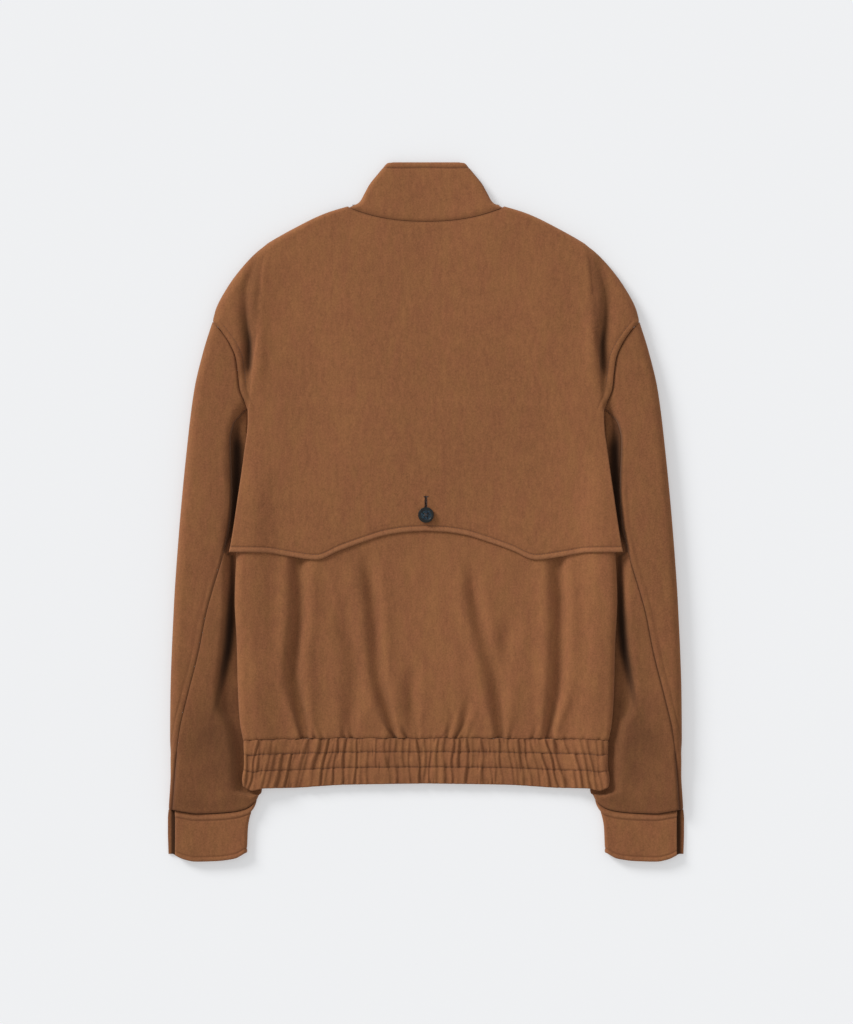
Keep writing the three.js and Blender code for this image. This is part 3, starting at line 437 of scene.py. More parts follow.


# A closed wall between two grids, with where a seam presses it and where shade is painted in creases, tucks
# and slits, where an edge is worn and where a highlight is painted, and where near-black shade is painted in
# troughs and hollows. The inner side is plain, but for shade painted where within says.
def sewnWall(name, outer, inner, material, pressedAndShaded=None, wornAndLit=None, paintedShade=None, within=None):
    rows, columns = outer.shape[:2]
    points = np.concatenate([outer.reshape(-1, 3), inner.reshape(-1, 3)])
    index = np.arange(rows * columns).reshape(rows, columns)
    below = index + rows * columns
    faces = [
        np.stack([index[:-1, :-1], index[:-1, 1:], index[1:, 1:], index[1:, :-1]], 2).reshape(-1, 4),
        np.stack([below[:-1, :-1], below[1:, :-1], below[1:, 1:], below[:-1, 1:]], 2).reshape(-1, 4),
        np.stack([index[0, :-1], below[0, :-1], below[0, 1:], index[0, 1:]], 1),
        np.stack([index[-1, 1:], below[-1, 1:], below[-1, :-1], index[-1, :-1]], 1),
        np.stack([index[1:, 0], below[1:, 0], below[:-1, 0], index[:-1, 0]], 1),
        np.stack([index[:-1, -1], below[:-1, -1], below[1:, -1], index[1:, -1]], 1),
    ]
    faces = np.concatenate(faces)
    a, b, c, d = (points[faces[:, i]] for i in range(4))
    volume = np.einsum("ij,ij->", a, np.cross(b, c)) + np.einsum("ij,ij->", a, np.cross(c, d))
    if volume < 0:
        faces = faces[:, ::-1]
    nothing = np.zeros((rows, columns))
    shades = {}
    for shade, values in (("pressedAndShaded", pressedAndShaded), ("wornAndLit", wornAndLit), ("paintedShade", paintedShade)):
        top = nothing if values is None else np.broadcast_to(values, (rows, columns))
        inside = within if shade == "paintedShade" and within is not None else nothing
        shades[shade] = np.concatenate([top.ravel(), inside.ravel()])
    piece = asMesh(name, points, faces, material, shades)
    print(f"{name}: {len(faces) * 2} triangles")
    return piece


# The inner side of a wall runs on a little under its neighbour's, as a seam allowance does, so no light
# passes through the seam.
def seamAllowance(inner, reach, columns=slice(None)):
    inner[0, columns, 1] += reach


def clothArea(piece):
    return sum(face.area for face in piece.data.polygons) / 2


# Hands a finished cloth piece to the frame. share is the cut's part of its rectangle.
def dress(piece, node, flat, share):
    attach(piece, "root")
    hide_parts(node)
    cut = share * flat[0] * flat[1]
    print(f"  cloth {clothArea(piece):.4f} m2 on a cut of {cut:.4f} m2")


# Places from the first stop to the last, in runs of (to, step).
def steps(*stops):
    places = [stops[0]]
    for end, step in stops[1:]:
        count = max(1, round(abs(end - places[-1]) / step))
        places.extend(np.linspace(places[-1], end, count + 1)[1:])
    return np.array(places)


edgeSteps = steps(0, (1.2, 0.3), (8.4, 0.6))  # distances from an edge that are drawn finely


# Materials.
suedeLook = {
    "warm": (0.260, 0.098, 0.0430),
    "olive": (0.240, 0.102, 0.0385),
    # Colour of pressed seams, also used for painted shade in creases, tucks and slits.
    "deep": (0.120, 0.045, 0.020),
    # Colour of worn edges, also used for painted highlight on the tops of the gathers.
    "pale": (0.390, 0.176, 0.090),
    # Near-black colour of painted shade in fold troughs, armhole valleys, sleeve hollows and inside the
    # cuffs.
    "hollowShade": (0.006, 0.002, 0.001),
    "blotch": 9.0,  # patterns to the metre
    "mottle": 70.0,
    "brush": 210.0,
    "nap": 520.0,
    "fibre": 1500.0,
    "napRelief": 0.00034,
}


def newMaterial(name):
    material = bpy.data.materials.new(name)
    material.use_nodes = True
    tree = material.node_tree
    tree.nodes.clear()
    return material, tree


def node(tree, kind, **values):
    made = tree.nodes.new(kind)
    for key, value in values.items():
        if hasattr(made, key):
            setattr(made, key, value)
        else:
            made.inputs[key.replace("_", " ")].default_value = value
    return made


def noise(tree, where, scale, detail, roughness=0.55):
    made = node(tree, "ShaderNodeTexNoise", Scale=scale, Detail=detail, Roughness=roughness)
    tree.links.new(where, made.inputs["Vector"])
    return made.outputs["Fac"]


def ranged(tree, value, low, high, toLow, toHigh):
    made = tree.nodes.new("ShaderNodeMapRange")
    for name, number in zip(("From Min", "From Max", "To Min", "To Max"), (low, high, toLow, toHigh)):
        made.inputs[name].default_value = number
    tree.links.new(value, made.inputs["Value"])
    return made.outputs["Result"]


def maths(tree, operation, a, b):
    made = tree.nodes.new("ShaderNodeMath")
    made.operation = operation
    for slot, value in enumerate((a, b)):
        if isinstance(value, (int, float)):
            made.inputs[slot].default_value = value
        else:
            tree.links.new(value, made.inputs[slot])
    return made.outputs[0]


def blend(tree, factor, a, b, kind="MIX"):
    made = tree.nodes.new("ShaderNodeMix")
    made.data_type = "RGBA"
    made.blend_type = kind
    for name, value in (("Factor", factor), ("A", a), ("B", b)):
        slot = [s for s in made.inputs if s.name == name and (s.type == "RGBA" or name == "Factor")][0]
        if isinstance(value, (int, float)):
            slot.default_value = value
        elif isinstance(value, tuple):
            slot.default_value = (*value, 1)
        else:
            tree.links.new(value, slot)
    return [s for s in made.outputs if s.type == "RGBA"][0]


# Brushed suede: two browns in soft blotches, a fine nap that catches light, worn edges and pressed seams,
# with painted shade in creases, slits, troughs and hollows and painted highlight on raised gathers; a factor
# below one darkens a whole copy of it, as painted shade.
def makeSuede(name, shadeFactor=1.0):
    material, tree = newMaterial(name)
    look = suedeLook
    spot = tree.nodes.new("ShaderNodeTexCoord").outputs["Object"]
    stretched = tree.nodes.new("ShaderNodeMapping")
    stretched.inputs["Scale"].default_value = (1.0, 0.35, 1.0)
    tree.links.new(spot, stretched.inputs["Vector"])
    down = stretched.outputs["Vector"]
    blotch = noise(tree, down, look["blotch"], 3)
    mottle = noise(tree, down, look["mottle"], 4)
    brush = noise(tree, down, look["brush"], 3, 0.6)
    nap = noise(tree, spot, look["nap"], 3, 0.7)
    fibre = noise(tree, down, look["fibre"], 2, 0.8)
    hue = blend(tree, ranged(tree, mottle, 0.35, 0.65, 0.2, 0.8), look["warm"], look["olive"])
    broad = ranged(tree, blotch, 0.3, 0.7, -0.085, 0.085)
    patches = maths(tree, "ADD", broad, ranged(tree, mottle, 0.3, 0.7, -0.045, 0.045))
    streaks = maths(tree, "ADD", patches, ranged(tree, brush, 0.28, 0.72, -0.10, 0.10))
    fine = ranged(tree, fibre, 0.25, 0.75, -0.12, 0.12)
    grain = maths(tree, "ADD", ranged(tree, nap, 0.25, 0.75, -0.2, 0.2), fine)
    level = maths(tree, "MULTIPLY", maths(tree, "ADD", maths(tree, "ADD", streaks, grain), 1.0), shadeFactor)
    scaled = tree.nodes.new("ShaderNodeVectorMath")
    scaled.operation = "SCALE"
    tree.links.new(hue, scaled.inputs[0])
    tree.links.new(level, scaled.inputs["Scale"])
    pressedAndShaded = node(tree, "ShaderNodeAttribute", attribute_name="pressedAndShaded").outputs["Fac"]
    wornAndLit = node(tree, "ShaderNodeAttribute", attribute_name="wornAndLit").outputs["Fac"]
    darkened = blend(tree, pressedAndShaded, scaled.outputs[0], look["deep"])
    rubbedAndLit = maths(tree, "MULTIPLY", wornAndLit, ranged(tree, nap, 0.2, 0.8, 0.25, 0.75))
    paintedShade = node(tree, "ShaderNodeAttribute", attribute_name="paintedShade").outputs["Fac"]
    coloured = blend(tree, paintedShade, blend(tree, rubbedAndLit, darkened, look["pale"]), look["hollowShade"])
    relief = maths(tree, "ADD", maths(tree, "MULTIPLY", nap, 0.8), maths(tree, "MULTIPLY", fibre, 0.5))
    relief = maths(tree, "ADD", relief, maths(tree, "MULTIPLY", brush, 1.3))
    raised = node(tree, "ShaderNodeBump", Strength=0.55, Distance=look["napRelief"])
    tree.links.new(relief, raised.inputs["Height"])
    shader = node(tree, "ShaderNodeBsdfPrincipled", Roughness=0.94)
    shader.inputs["Specular IOR Level"].default_value = 0.12
    shader.inputs["Sheen Weight"].default_value = 0.22
    shader.inputs["Sheen Roughness"].default_value = 0.55
    shader.inputs["Sheen Tint"].default_value = (0.85, 0.52, 0.34, 1)
    tree.links.new(coloured, shader.inputs["Base Color"])
    tree.links.new(raised.outputs["Normal"], shader.inputs["Normal"])
    out = tree.nodes.new("ShaderNodeOutputMaterial")
    tree.links.new(shader.outputs[0], out.inputs["Surface"])
    return material


def makeThread(name, colour):
    material, tree = newMaterial(name)
    spot = tree.nodes.new("ShaderNodeTexCoord").outputs["Object"]
    twist = noise(tree, spot, 2600.0, 2)
    shader = node(tree, "ShaderNodeBsdfPrincipled", Roughness=0.7)
    shader.inputs["Sheen Weight"].default_value = 0.2
    low = tuple(0.75 * c for c in colour)
    twisted = blend(tree, ranged(tree, twist, 0.3, 0.7, 0, 1), low, colour)
    tree.links.new(twisted, shader.inputs["Base Color"])
    raised = node(tree, "ShaderNodeBump", Strength=0.4, Distance=0.0001)
    tree.links.new(twist, raised.inputs["Height"])
    tree.links.new(raised.outputs["Normal"], shader.inputs["Normal"])
    out = tree.nodes.new("ShaderNodeOutputMaterial")
    tree.links.new(shader.outputs[0], out.inputs["Surface"])
    return material


# Dark marbled button: near black, with slate blue and grey clouds under a clear polish.
def makeButtonHorn(name):
    material, tree = newMaterial(name)
    spot = tree.nodes.new("ShaderNodeTexCoord").outputs["Object"]
    centred = tree.nodes.new("ShaderNodeMapping")
    centred.inputs["Location"].default_value = (0, -button["at"] / 1000, 0)
    centred.inputs["Scale"].default_value = (1, 1, 0)
    tree.links.new(spot, centred.inputs["Vector"])
    fromMiddle = tree.nodes.new("ShaderNodeVectorMath")
    fromMiddle.operation = "LENGTH"
    tree.links.new(centred.outputs["Vector"], fromMiddle.inputs[0])
    cloud = node(tree, "ShaderNodeTexNoise", Scale=170.0, Detail=3.0, Distortion=1.6)
    tree.links.new(spot, cloud.inputs["Vector"])
    vein = noise(tree, spot, 420.0, 3)
    clouds = ranged(tree, cloud.outputs["Fac"], 0.45, 0.68, 0, 1)
    base = blend(tree, clouds, (0.004, 0.007, 0.014), (0.030, 0.075, 0.110))
    tinted = blend(tree, ranged(tree, vein, 0.56, 0.7, 0, 0.5), base, (0.045, 0.100, 0.085))
    rim = ranged(tree, fromMiddle.outputs["Value"], 0.0048, 0.0066, 0, 0.9)
    edged = blend(tree, rim, tinted, (0.010, 0.009, 0.007))
    shader = node(tree, "ShaderNodeBsdfPrincipled", Roughness=0.3)
    shader.inputs["Specular IOR Level"].default_value = 0.25
    shader.inputs["Coat Weight"].default_value = 0.12
    shader.inputs["Coat Roughness"].default_value = 0.12
    tree.links.new(edged, shader.inputs["Base Color"])
    raised = node(tree, "ShaderNodeBump", Strength=0.15, Distance=0.0001)
    tree.links.new(vein, raised.inputs["Height"])
    tree.links.new(raised.outputs["Normal"], shader.inputs["Normal"])
    out = tree.nodes.new("ShaderNodeOutputMaterial")
    tree.links.new(shader.outputs[0], out.inputs["Surface"])
    return material


button = {
    "across": 18,
    "thick": 3,
    "at": -3.4,
    "holeAcross": 2,
    "holeSpread": 2.6,
    "rimWidth": 2.2,
    "dish": 0.7,
}
bodySuede = makeSuede("brownSuede")
# Sleeves and cuffs take a copy of the suede made 7 % darker, as painted shade.
sleeveSuedeShaded = makeSuede("sleeveSuedeShaded", 0.93)
seamThread = makeThread("seamThread", (0.115, 0.042, 0.018))
holeThread = makeThread("holeThread", (0.034, 0.013, 0.008))
buttonThread = makeThread("buttonThread", (0.030, 0.022, 0.022))
marbledButton = makeButtonHorn("marbledButton")
print("materials made")

# Back panel, from the neck seam and the shoulders down to the gathered hem seam.
backPanel = {
    "hiddenStep": 9,  # rows under the flap
    "step": 2.3,
    "columnsCore": 236,
    "columnsTurn": 16,
    "seamFall": 0.7,
    "tuckDeep": 0.9,
}


def bodyColumns(core, turn):
    half = np.concatenate([np.linspace(0, ringCore, core // 2 + 1)[:-1], np.linspace(ringCore, 1, turn)])
    return np.concatenate([-half[:0:-1], half])


lowerSteps = ((-208, backPanel["step"]), (-252, 1.6), (-259.85, 0.7))
backRows = steps(349.4, (0, backPanel["hiddenStep"]), *lowerSteps)
backColumns = bodyColumns(backPanel["columnsCore"], backPanel["columnsTurn"])


def backGrid(rows, columns):
    place, row = columns[None, :], rows[:, None]
    x, z = bodyPoint(place, row)
    wave = seamWave(x) * ease(-236, -259.85, row)
    y = row - neckDip(x, row) - seamDrop(x, row) - wave
    return stack(x, y, z + np.where(np.abs(place) == 1, cloth["seamGap"] / 2, 0))


def backWall(rows, columns):
    grid = backGrid(rows, columns)
    normals = gridNormals(grid, -1)
    for column in (0, len(columns) - 1):
        seamNormals(grid, normals, rows, column, 1)
    levelAlong(normals[0])
    levelAlong(normals[-1])
    return grid, normals


grid, normals = backWall(backRows, backColumns)
fromHem = backRows[:, None] - backRows[-1]
fall = backPanel["seamFall"] * bump(fromHem, 2.2)
atSide = 1 - np.abs(backColumns[None, :])
drawnIn = tucked(grid[..., 0], backRows[:, None])
outer = grid - normals * (fall + backPanel["tuckDeep"] * drawnIn)[..., None]
uneven = np.clip(0.45 + 0.5 * unevenness(grid[..., 0], 0, 17, 24), 0.1, 1)
pressedAndShaded = np.maximum(0.7 * bump(fromHem, 1.4) * uneven, 0.35 * bump(atSide, 0.01))
# Painted shade in the creases of the tucks, on top of the pressed hem seam.
pressedAndShaded = np.clip(np.maximum(pressedAndShaded, 0.8 * drawnIn), 0, 1)
# Painted shade in the fold troughs and beside the puckers.
paintedShade = troughShade(grid[..., 0], backRows[:, None])
back = sewnWall("backPanel", outer, grid - normals * cloth["wall"], bodySuede, pressedAndShaded, None, paintedShade)
dress(back, "back_panel", (0.50, 0.63), 0.87)

# Back flap: above the armpits it is the back's own form moved out, and below them it ends in a free edge.
flapSide = {
    "at": (-46, -31, 14.9, 64.4, 105.8, 125.3, 133.4, 141.4),
    "half": (226, 223.1, 216.2, 209.3, 204.7, 204.7, 210.4, 213.9),
}
flapHem = {
    "across": (0, 21.8, 44.8, 70.1, 98.9, 126, 156.4, 186.3, 226),
    "at": (-21.8, -23, -26.4, -34, -44.2, -55, -51.1, -46.5, -46),
}
# Line where the flap's cloth turns over the valley beside the armhole, and how crisp the turn is.
flapRidge = {
    "at": (105, 127.7, 166.8, 209.3, 266.8, 296.7, 318),
    "half": (204.7, 202.4, 199, 193.2, 188.6, 185.2, 183),
    "crisp": (0, 0.6, 1, 1, 0.9, 0.5, 0),
}
ridgeHalf = reader(flapRidge, "at", "half")
ridgeCrisp = reader(flapRidge, "at", "crisp")
flapHalf = reader(flapSide, "at", "half")
flapFoot = reader(flapHem, "across", "at")
flap = {
    "step": 2.3,
    "topstitch": 6.2,  # from the hem edge
    "edgeRound": 1.1,
    "stitchDent": 0.5,
    "edgeSwell": 0.35,
    "armholeStitch": 8.0,
}
buttonhole = {"top": 17.5, "foot": -6.5, "width": 1.5, "deep": 1.5}


# down runs from 0 at the armpits to 1 at the hem.
def flapLower(place, down):
    share = np.abs(place)
    half = flapHalf(mix(119, -46, down))
    outside = half - 8 + 8 * (share - ringCore) / (1 - ringCore)
    across = np.where(share <= ringCore, (half - 8) * share / ringCore, outside)
    y = mix(119, flapFoot(across), down)
    flat = np.minimum(across, bodyHalf(y) - 9)
    droop = 1.5 * smooth(0, 22, across - flat) + 0.6 * ease(16, 3, y - flapFoot(across))
    z = backWithoutFolds(flat, y) + cloth["layerGap"] + 0.5 + cloth["flapWall"] - droop
    return stack(np.sign(place) * across, y, z)


centreColumns = steps(0, (0.006, 0.0011), (0.016, 0.0025))
coreColumns = np.linspace(0.016, 0.75, 56)[1:-1]
ridgeColumns = np.linspace(0.75, ringCore, 29)[:-1]
turnColumns = 1 - edgeSteps[::-1] * (1 - ringCore) / 8.4
half = np.concatenate([centreColumns, coreColumns, ridgeColumns, turnColumns])
flapColumns = np.concatenate([-half[:0:-1], half])
upperRows = steps(349.4, (345, 0.8), (134, flap["step"]))
joinRows = steps(134, (119, 2.2))[1:-1]
hemDistance = np.concatenate([[0, 0.2, 0.5], np.arange(0.9, 11, 0.75), [12.2]])
lowerDown = np.concatenate([np.linspace(0, 1 - 13 / 165, 66), 1 - hemDistance[::-1] / 165])
bodyRows = np.concatenate([upperRows, joinRows])
upper, upperNormals = backWall(bodyRows, flapColumns)
lower = flapLower(flapColumns[None, :], lowerDown[:, None])
lowerNormals = gridNormals(lower, -1)
outside = upper + upperNormals * (cloth["layerGap"] + cloth["flapWall"])
inside = upper + upperNormals * cloth["layerGap"]
early = flapLower(flapColumns[None, :], (joinRows[:, None] - 119) / (-46 - 119))
blended = smooth(134, 119, joinRows)[:, None, None]
joined = slice(len(upperRows), None)
outside[joined] = mix(outside[joined], early, blended)
inside[joined] = mix(inside[joined], early - gridNormals(early, -1) * cloth["flapWall"], blended)
outer = np.concatenate([outside, lower])
inner = np.concatenate([inside, lower - lowerNormals * cloth["flapWall"]])
normals = np.concatenate([upperNormals, lowerNormals])
x, y = outer[..., 0], outer[..., 1]
side = np.abs(x)
onLower = y < 121
fromFoot = np.where(onLower, y - flapFoot(side), 99)
toSide = np.where(onLower, flapHalf(np.maximum(y, -46)) - side, 99)
toNeck = np.where(side < neck["half"], 349.4 - neckDip(x, 349.4) - y, 99)
toArmhole = np.where((y > armpit) & (y < shoulderPoint), armholeHalf(y) - side, 99)
rounding = flap["edgeRound"] * (2 - circle(fromFoot, 1.6) - circle(toSide, 1.6))
seamFall = 0.5 * bump(toNeck, 2.0) + 0.4 * bump(toArmhole, 1.8)
dents = flap["stitchDent"] * bump(fromFoot - flap["topstitch"], 1.0)
dents = dents + 0.35 * bump(toArmhole - flap["armholeStitch"], 1.1)
swell = flap["edgeSwell"] * bump(fromFoot - 3, 2) + 0.3 * bump(toArmhole - 4, 2.4)
inSlit = smooth(buttonhole["foot"] - 0.8, buttonhole["foot"] + 0.8, y) * ease(
    buttonhole["top"] + 0.8, buttonhole["top"] - 0.8, y
)
slit = buttonhole["deep"] * inSlit * ease(1.3, 0.45, side)
lips = 0.3 * inSlit * bump(side - 2.4, 1.1)
past = side - ridgeHalf(y)
ridge = 1.3 * ridgeCrisp(y) * ease(1.2, -1.4, past) * bump(np.minimum(past, 0), 16)
ridge = ridge - 0.5 * ridgeCrisp(y) * bump(past - 3, 2.5)
outer = outer + normals * (swell + lips + ridge - rounding - seamFall - dents - slit)[..., None]
# Seams and topstitching are pressed darker, and the buttonhole slit gets painted shade.
pressedAndShaded = np.clip(
    0.5 * bump(toNeck, 1.6) + 0.45 * bump(toArmhole, 1.6) + 0.45 * bump(fromFoot - flap["topstitch"], 0.7)
    + 0.9 * inSlit * ease(1.4, 0.6, side) + 0.3 * bump(toArmhole - flap["armholeStitch"], 0.9), 0, 1)
wornAndLit = np.clip(0.5 * bump(fromFoot - 2.4, 2.4) + 0.3 * bump(toSide, 1.8), 0, 1)
# Painted shade in the valley beside the armhole and in a band from it to the flap's ridge.
off = side - valleyHalf(y)
paintedShade = valleyShade(y) * bump(off, np.where(off < 0, 3.6, 6.5))
shaded = 0.26 * ridgeCrisp(y) * smooth(-0.6, 1.0, past) * ease(9, 2, off)
paintedShade = np.clip(np.maximum(paintedShade, shaded) * smooth(-1.2, 0.8, past), 0, 0.9)
paintedShade = np.where(onLower & (y < 105), 0, paintedShade)
backFlap = sewnWall("backFlap", outer, inner, bodySuede, pressedAndShaded, wornAndLit, paintedShade)
dress(backFlap, "back_flap", (0.50, 0.41), 0.88)

# Fronts, lapped along the middle and lying on the surface.
fronts = {"across": 46, "turn": 12, "step": 7}
neckTop = neck["frontAt"] + 0.8
frontRows = steps(341, (neckTop, 3), (neck["frontAt"], 1), (-259.85, fronts["step"]))


def frontStart(row):
    share = np.clip((row - neckTop) / (349.6 - neckTop), 0, 1)
    curve = mix(lap["half"] + 2, neck["half"] - 7, np.sqrt(1 - (1 - share) ** 2))
    return np.where(row <= neck["frontAt"], -lap["half"], curve)


def frontGrid(side):
    row = frontRows[:, None]
    half = bodyHalf(row)
    raised = backWithoutFolds(half, row)
    level = lift(half, row)
    start = frontStart(row)
    roll = np.minimum(np.minimum(11, 0.8 * (raised - level)), 0.45 * (half - start))
    flat = half - roll
    squeeze = np.where(row <= neck["frontAt"], 1, np.minimum(0.25, 0.3 * (flat - start) / 50))
    lapped = start + np.linspace(0, 50, 14)[None, :-1] * squeeze
    shared = mix(start + 50 * squeeze, flat, np.linspace(0, 1, fronts["across"])[None, :])
    turned = flat + roll * np.sin(np.linspace(0, math.pi / 2, fronts["turn"])[None, 1:])
    reach = np.concatenate([lapped, shared, turned], axis=1)
    full = circle(half - reach, roll)
    onLapEnd = (row == neckTop) & (reach - start <= 41 * squeeze)
    stepped = np.where(onLapEnd, 1, ease(lap["half"] + lap["ramp"], lap["half"] + 1, reach))
    rise = lap["rise"] * stepped if side > 0 else 0
    _, under = bodyEdge(row, raised)
    z = lift(reach, row) + rise + (under - level) * (1 - full)
    grid = stack(side * reach, row - seamDrop(reach, row), z)
    grid[:, -1, 2] = np.maximum(grid[:, -1, 2] - cloth["seamGap"] / 2, 0)
    return grid


for hand, side in (("left", -1), ("right", 1)):
    grid = frontGrid(side)
    normals = gridNormals(grid, side)
    seamNormals(grid, normals, frontRows, grid.shape[1] - 1, -1)
    front = sewnWall(f"front{hand.title()}", grid, grid - normals * cloth["wall"], bodySuede)
    dress(front, f"front_{hand}", (0.28, 0.61), 0.85)

# Hem bands: the back one is drawn up by its elastic in three tiers, the two front ones are plain.
hemBand = {
    "across": 620,
    "down": 42,
    "gathers": 52,
    "puff": 1.1,
    "crease": 1.6,
    "stitchRows": (0.3, 0.635),
    "stitchPinch": 0.5,
}
# How far the gathers slant outwards on their way down, by their place across.
bandLean = reader({"across": (0, 45, 85, 150, 190, 209), "lean": (-2, -1, 4, 15, 11, 4)}, "across", "lean")
bandFoot = reader(
    {"across": (0, 94, 125, 152, 186, 199, 211), "at": (-311.9, -313.4, -315.2, -316.9, -317.4, -320, -315)},
    "across", "at")
bandHalf = reader({"down": (0, 0.5, 0.85, 1), "half": (209.3, 208.4, 210.6, 209.6)}, "down", "half")


def bandGrid(place, down, onBack):
    share = np.abs(place)
    half = bandHalf(down)
    core, roll = 0.955, 3.6
    turn = (share - core) / (1 - core) * math.pi / 2
    reach = np.where(share <= core, (half - roll) * share / core, half - roll + roll * np.sin(turn))
    top = hemSeam["at"] - cloth["seamGap"] / 2 - hemSeam["sideDrop"] * (reach / 210) ** 4
    if onBack:
        top = top - seamWave(np.sign(place) * reach)
    y = mix(top, bandFoot(reach), down)
    full = circle(half - reach, roll)
    under = lift(reach, y)
    middle = (bodyDepth(y) + 2 * lift(half, y)) / 2
    gap = np.where(share == 1, cloth["seamGap"] / 2, 0)
    z = mix(middle, bodyDepth(y) + under, full) + gap if onBack else mix(middle, under, full) - gap
    return stack(np.sign(place) * reach, y, z)


# Height of the drawn-up cloth: slanting creases run down through the rows of stitches, sharper on one side,
# with short ones between them.
def gathered(x, down):
    chance = np.random.default_rng(21)
    pitch = 2 * 206 / hemBand["gathers"]
    lines = (0, *hemBand["stitchRows"], 1)
    pinched = 0
    for start, end in zip(lines[:-1], lines[1:]):
        within = np.clip((down - start) / (end - start), 0, 1)
        pinched = np.maximum(pinched, np.sin(within * math.pi) ** 0.5)
    pinched = np.maximum(pinched, 0.8 * smooth(0.74, 0.9, down))
    relief = hemBand["puff"] * pinched * (0.85 + 0.25 * unevenness(x, down * 40, 31, 14))
    for k in range(hemBand["gathers"] + 1):
        centre = -206 + pitch * (k + chance.uniform(-0.38, 0.38))
        lean = np.sign(centre) * float(bandLean(abs(centre))) + chance.uniform(-2, 2)
        wave = chance.uniform(0.4, 1.3) * np.sin(down * chance.uniform(5, 9) + chance.uniform(0, 6))
        line = centre + lean * (down - 0.45) + wave
        deep = chance.uniform(0.35, 1.2)
        weak = chance.integers(0, 3)
        inTier = (down > lines[weak]) & (down < lines[weak + 1])
        deep = deep * np.where(inTier, chance.uniform(0.1, 1), 1)
        width = chance.uniform(0.9, 1.9)
        off = x - line
        relief = relief - hemBand["crease"] * deep * bump(off, np.where(off < 0, width, 2.1 * width))
        relief = relief + 0.5 * deep * bump(off + 2.4 * width, 1.3 * width)
    for _ in range(90):
        centre = chance.uniform(-202, 202)
        row = lines[chance.integers(0, 4)]
        lean = np.sign(centre) * float(bandLean(abs(centre)))
        off = x - centre - lean * (down - row)
        reach = chance.uniform(0.06, 0.14)
        relief = relief - 0.75 * bump(off, 0.8 + 4 * np.abs(down - row)) * bump(down - row, reach)
    return relief


bandColumns = np.linspace(-1, 1, hemBand["across"])
bandRows = np.sort(np.concatenate([np.linspace(0, 1, hemBand["down"]), [0.29, 0.31, 0.625, 0.645, 0.99]]))
plain = bandGrid(bandColumns[None, :], bandRows[:, None], True)
normals = gridNormals(plain, -1)
for column in (0, len(bandColumns) - 1):
    seamNormals(plain, normals, np.full(len(bandRows), hemSeam["at"]), column, 1)
levelAlong(normals[0])
x, down = plain[..., 0], bandRows[:, None] + 0 * plain[..., 0]
toEnd = np.clip((1 - np.abs(bandColumns[None, :])) / 0.03, 0, 1)
relief = gathered(x, down) * toEnd
depth = 53 * down
pinch = sum(bump(depth - 53 * row, 0.9) for row in hemBand["stitchRows"])
uneven = np.clip(0.45 + 0.5 * unevenness(x, 0, 17, 24), 0.1, 1)
ends = 0.6 * uneven * bump(depth, 1.6) + 0.9 * (1 - circle(53 * (1 - down), 1.6))
outer = plain + normals * (relief + 0.35 - hemBand["stitchPinch"] * pinch * toEnd - ends)[..., None]
# Painted shade in the creases, and painted highlight on the tops of the puffs.
creaseShade = np.clip(0.3 - 0.4 * relief, 0, 0.42)
pressedAndShaded = np.clip(0.6 * uneven * bump(depth, 1.4) + 0.18 * pinch + creaseShade * toEnd, 0, 1)
wornAndLit = np.clip(0.14 * (relief - 0.8), 0, 0.22)
inner = plain - normals * cloth["wall"]
seamAllowance(inner, 0.25)
band = sewnWall("hemBandBack", outer, inner, bodySuede, pressedAndShaded, wornAndLit)
dress(band, "hem_band_back", (0.50, 0.058), 1.0)

for hand, side in (("left", -1), ("right", 1)):
    turnedPart = np.linspace(0.955, 1, 10)[1:]
    places = np.concatenate([np.linspace(-0.0957, 0.16, 16), np.linspace(0.16, 0.955, 20)[1:], turnedPart])
    mirrored = bandGrid(np.abs(places)[None, :], np.linspace(0, 1, 12)[:, None], False)
    reach = np.sign(places)[None, :] * mirrored[..., 0]
    rise = lap["rise"] * ease(lap["half"] + lap["ramp"], lap["half"] + 1, reach) if side > 0 else 0
    grid = stack(side * reach, mirrored[..., 1], mirrored[..., 2] + rise)
    normals = gridNormals(grid, side)
    seamNormals(grid, normals, np.full(12, hemSeam["at"]), len(places) - 1, -1)
    levelAlong(normals[0])
    inner = grid - normals * cloth["wall"]
    seamAllowance(inner, 0.25)
    frontBand = sewnWall(f"hemBandFront{hand.title()}", grid, inner, bodySuede)
    dress(frontBand, f"hem_band_front_{hand}", (0.235, 0.056), 1.0)

# Stand collar, folded flat along its sides, its two ends meeting under the middle.
collar = {"topstitch": 6.4, "edgeRound": 1.2}
collarSide = {
    "up": (0, 0.1, 0.28, 0.5, 0.72, 0.9, 1),
    "at": (349.6, 354.8, 364.5, 376, 387.5, 397, 401.7),
    "half": (89.1, 77, 71.3, 65, 56, 48, 43.5),
    "height": (12, 12, 11.4, 10.6, 9.8, 9.2, 9),
}
collarAt = reader(collarSide, "up", "at")
collarHalf = reader(collarSide, "up", "half")
collarHeight = reader(collarSide, "up", "height")
neckRows = np.array([neckTop, 315, 331, 341])


def neckEdge(x):
    starts = frontStart(neckRows)
    return np.interp(x, starts, neckRows) + 7 * smooth(starts[-1], starts[-1] + 3, x)


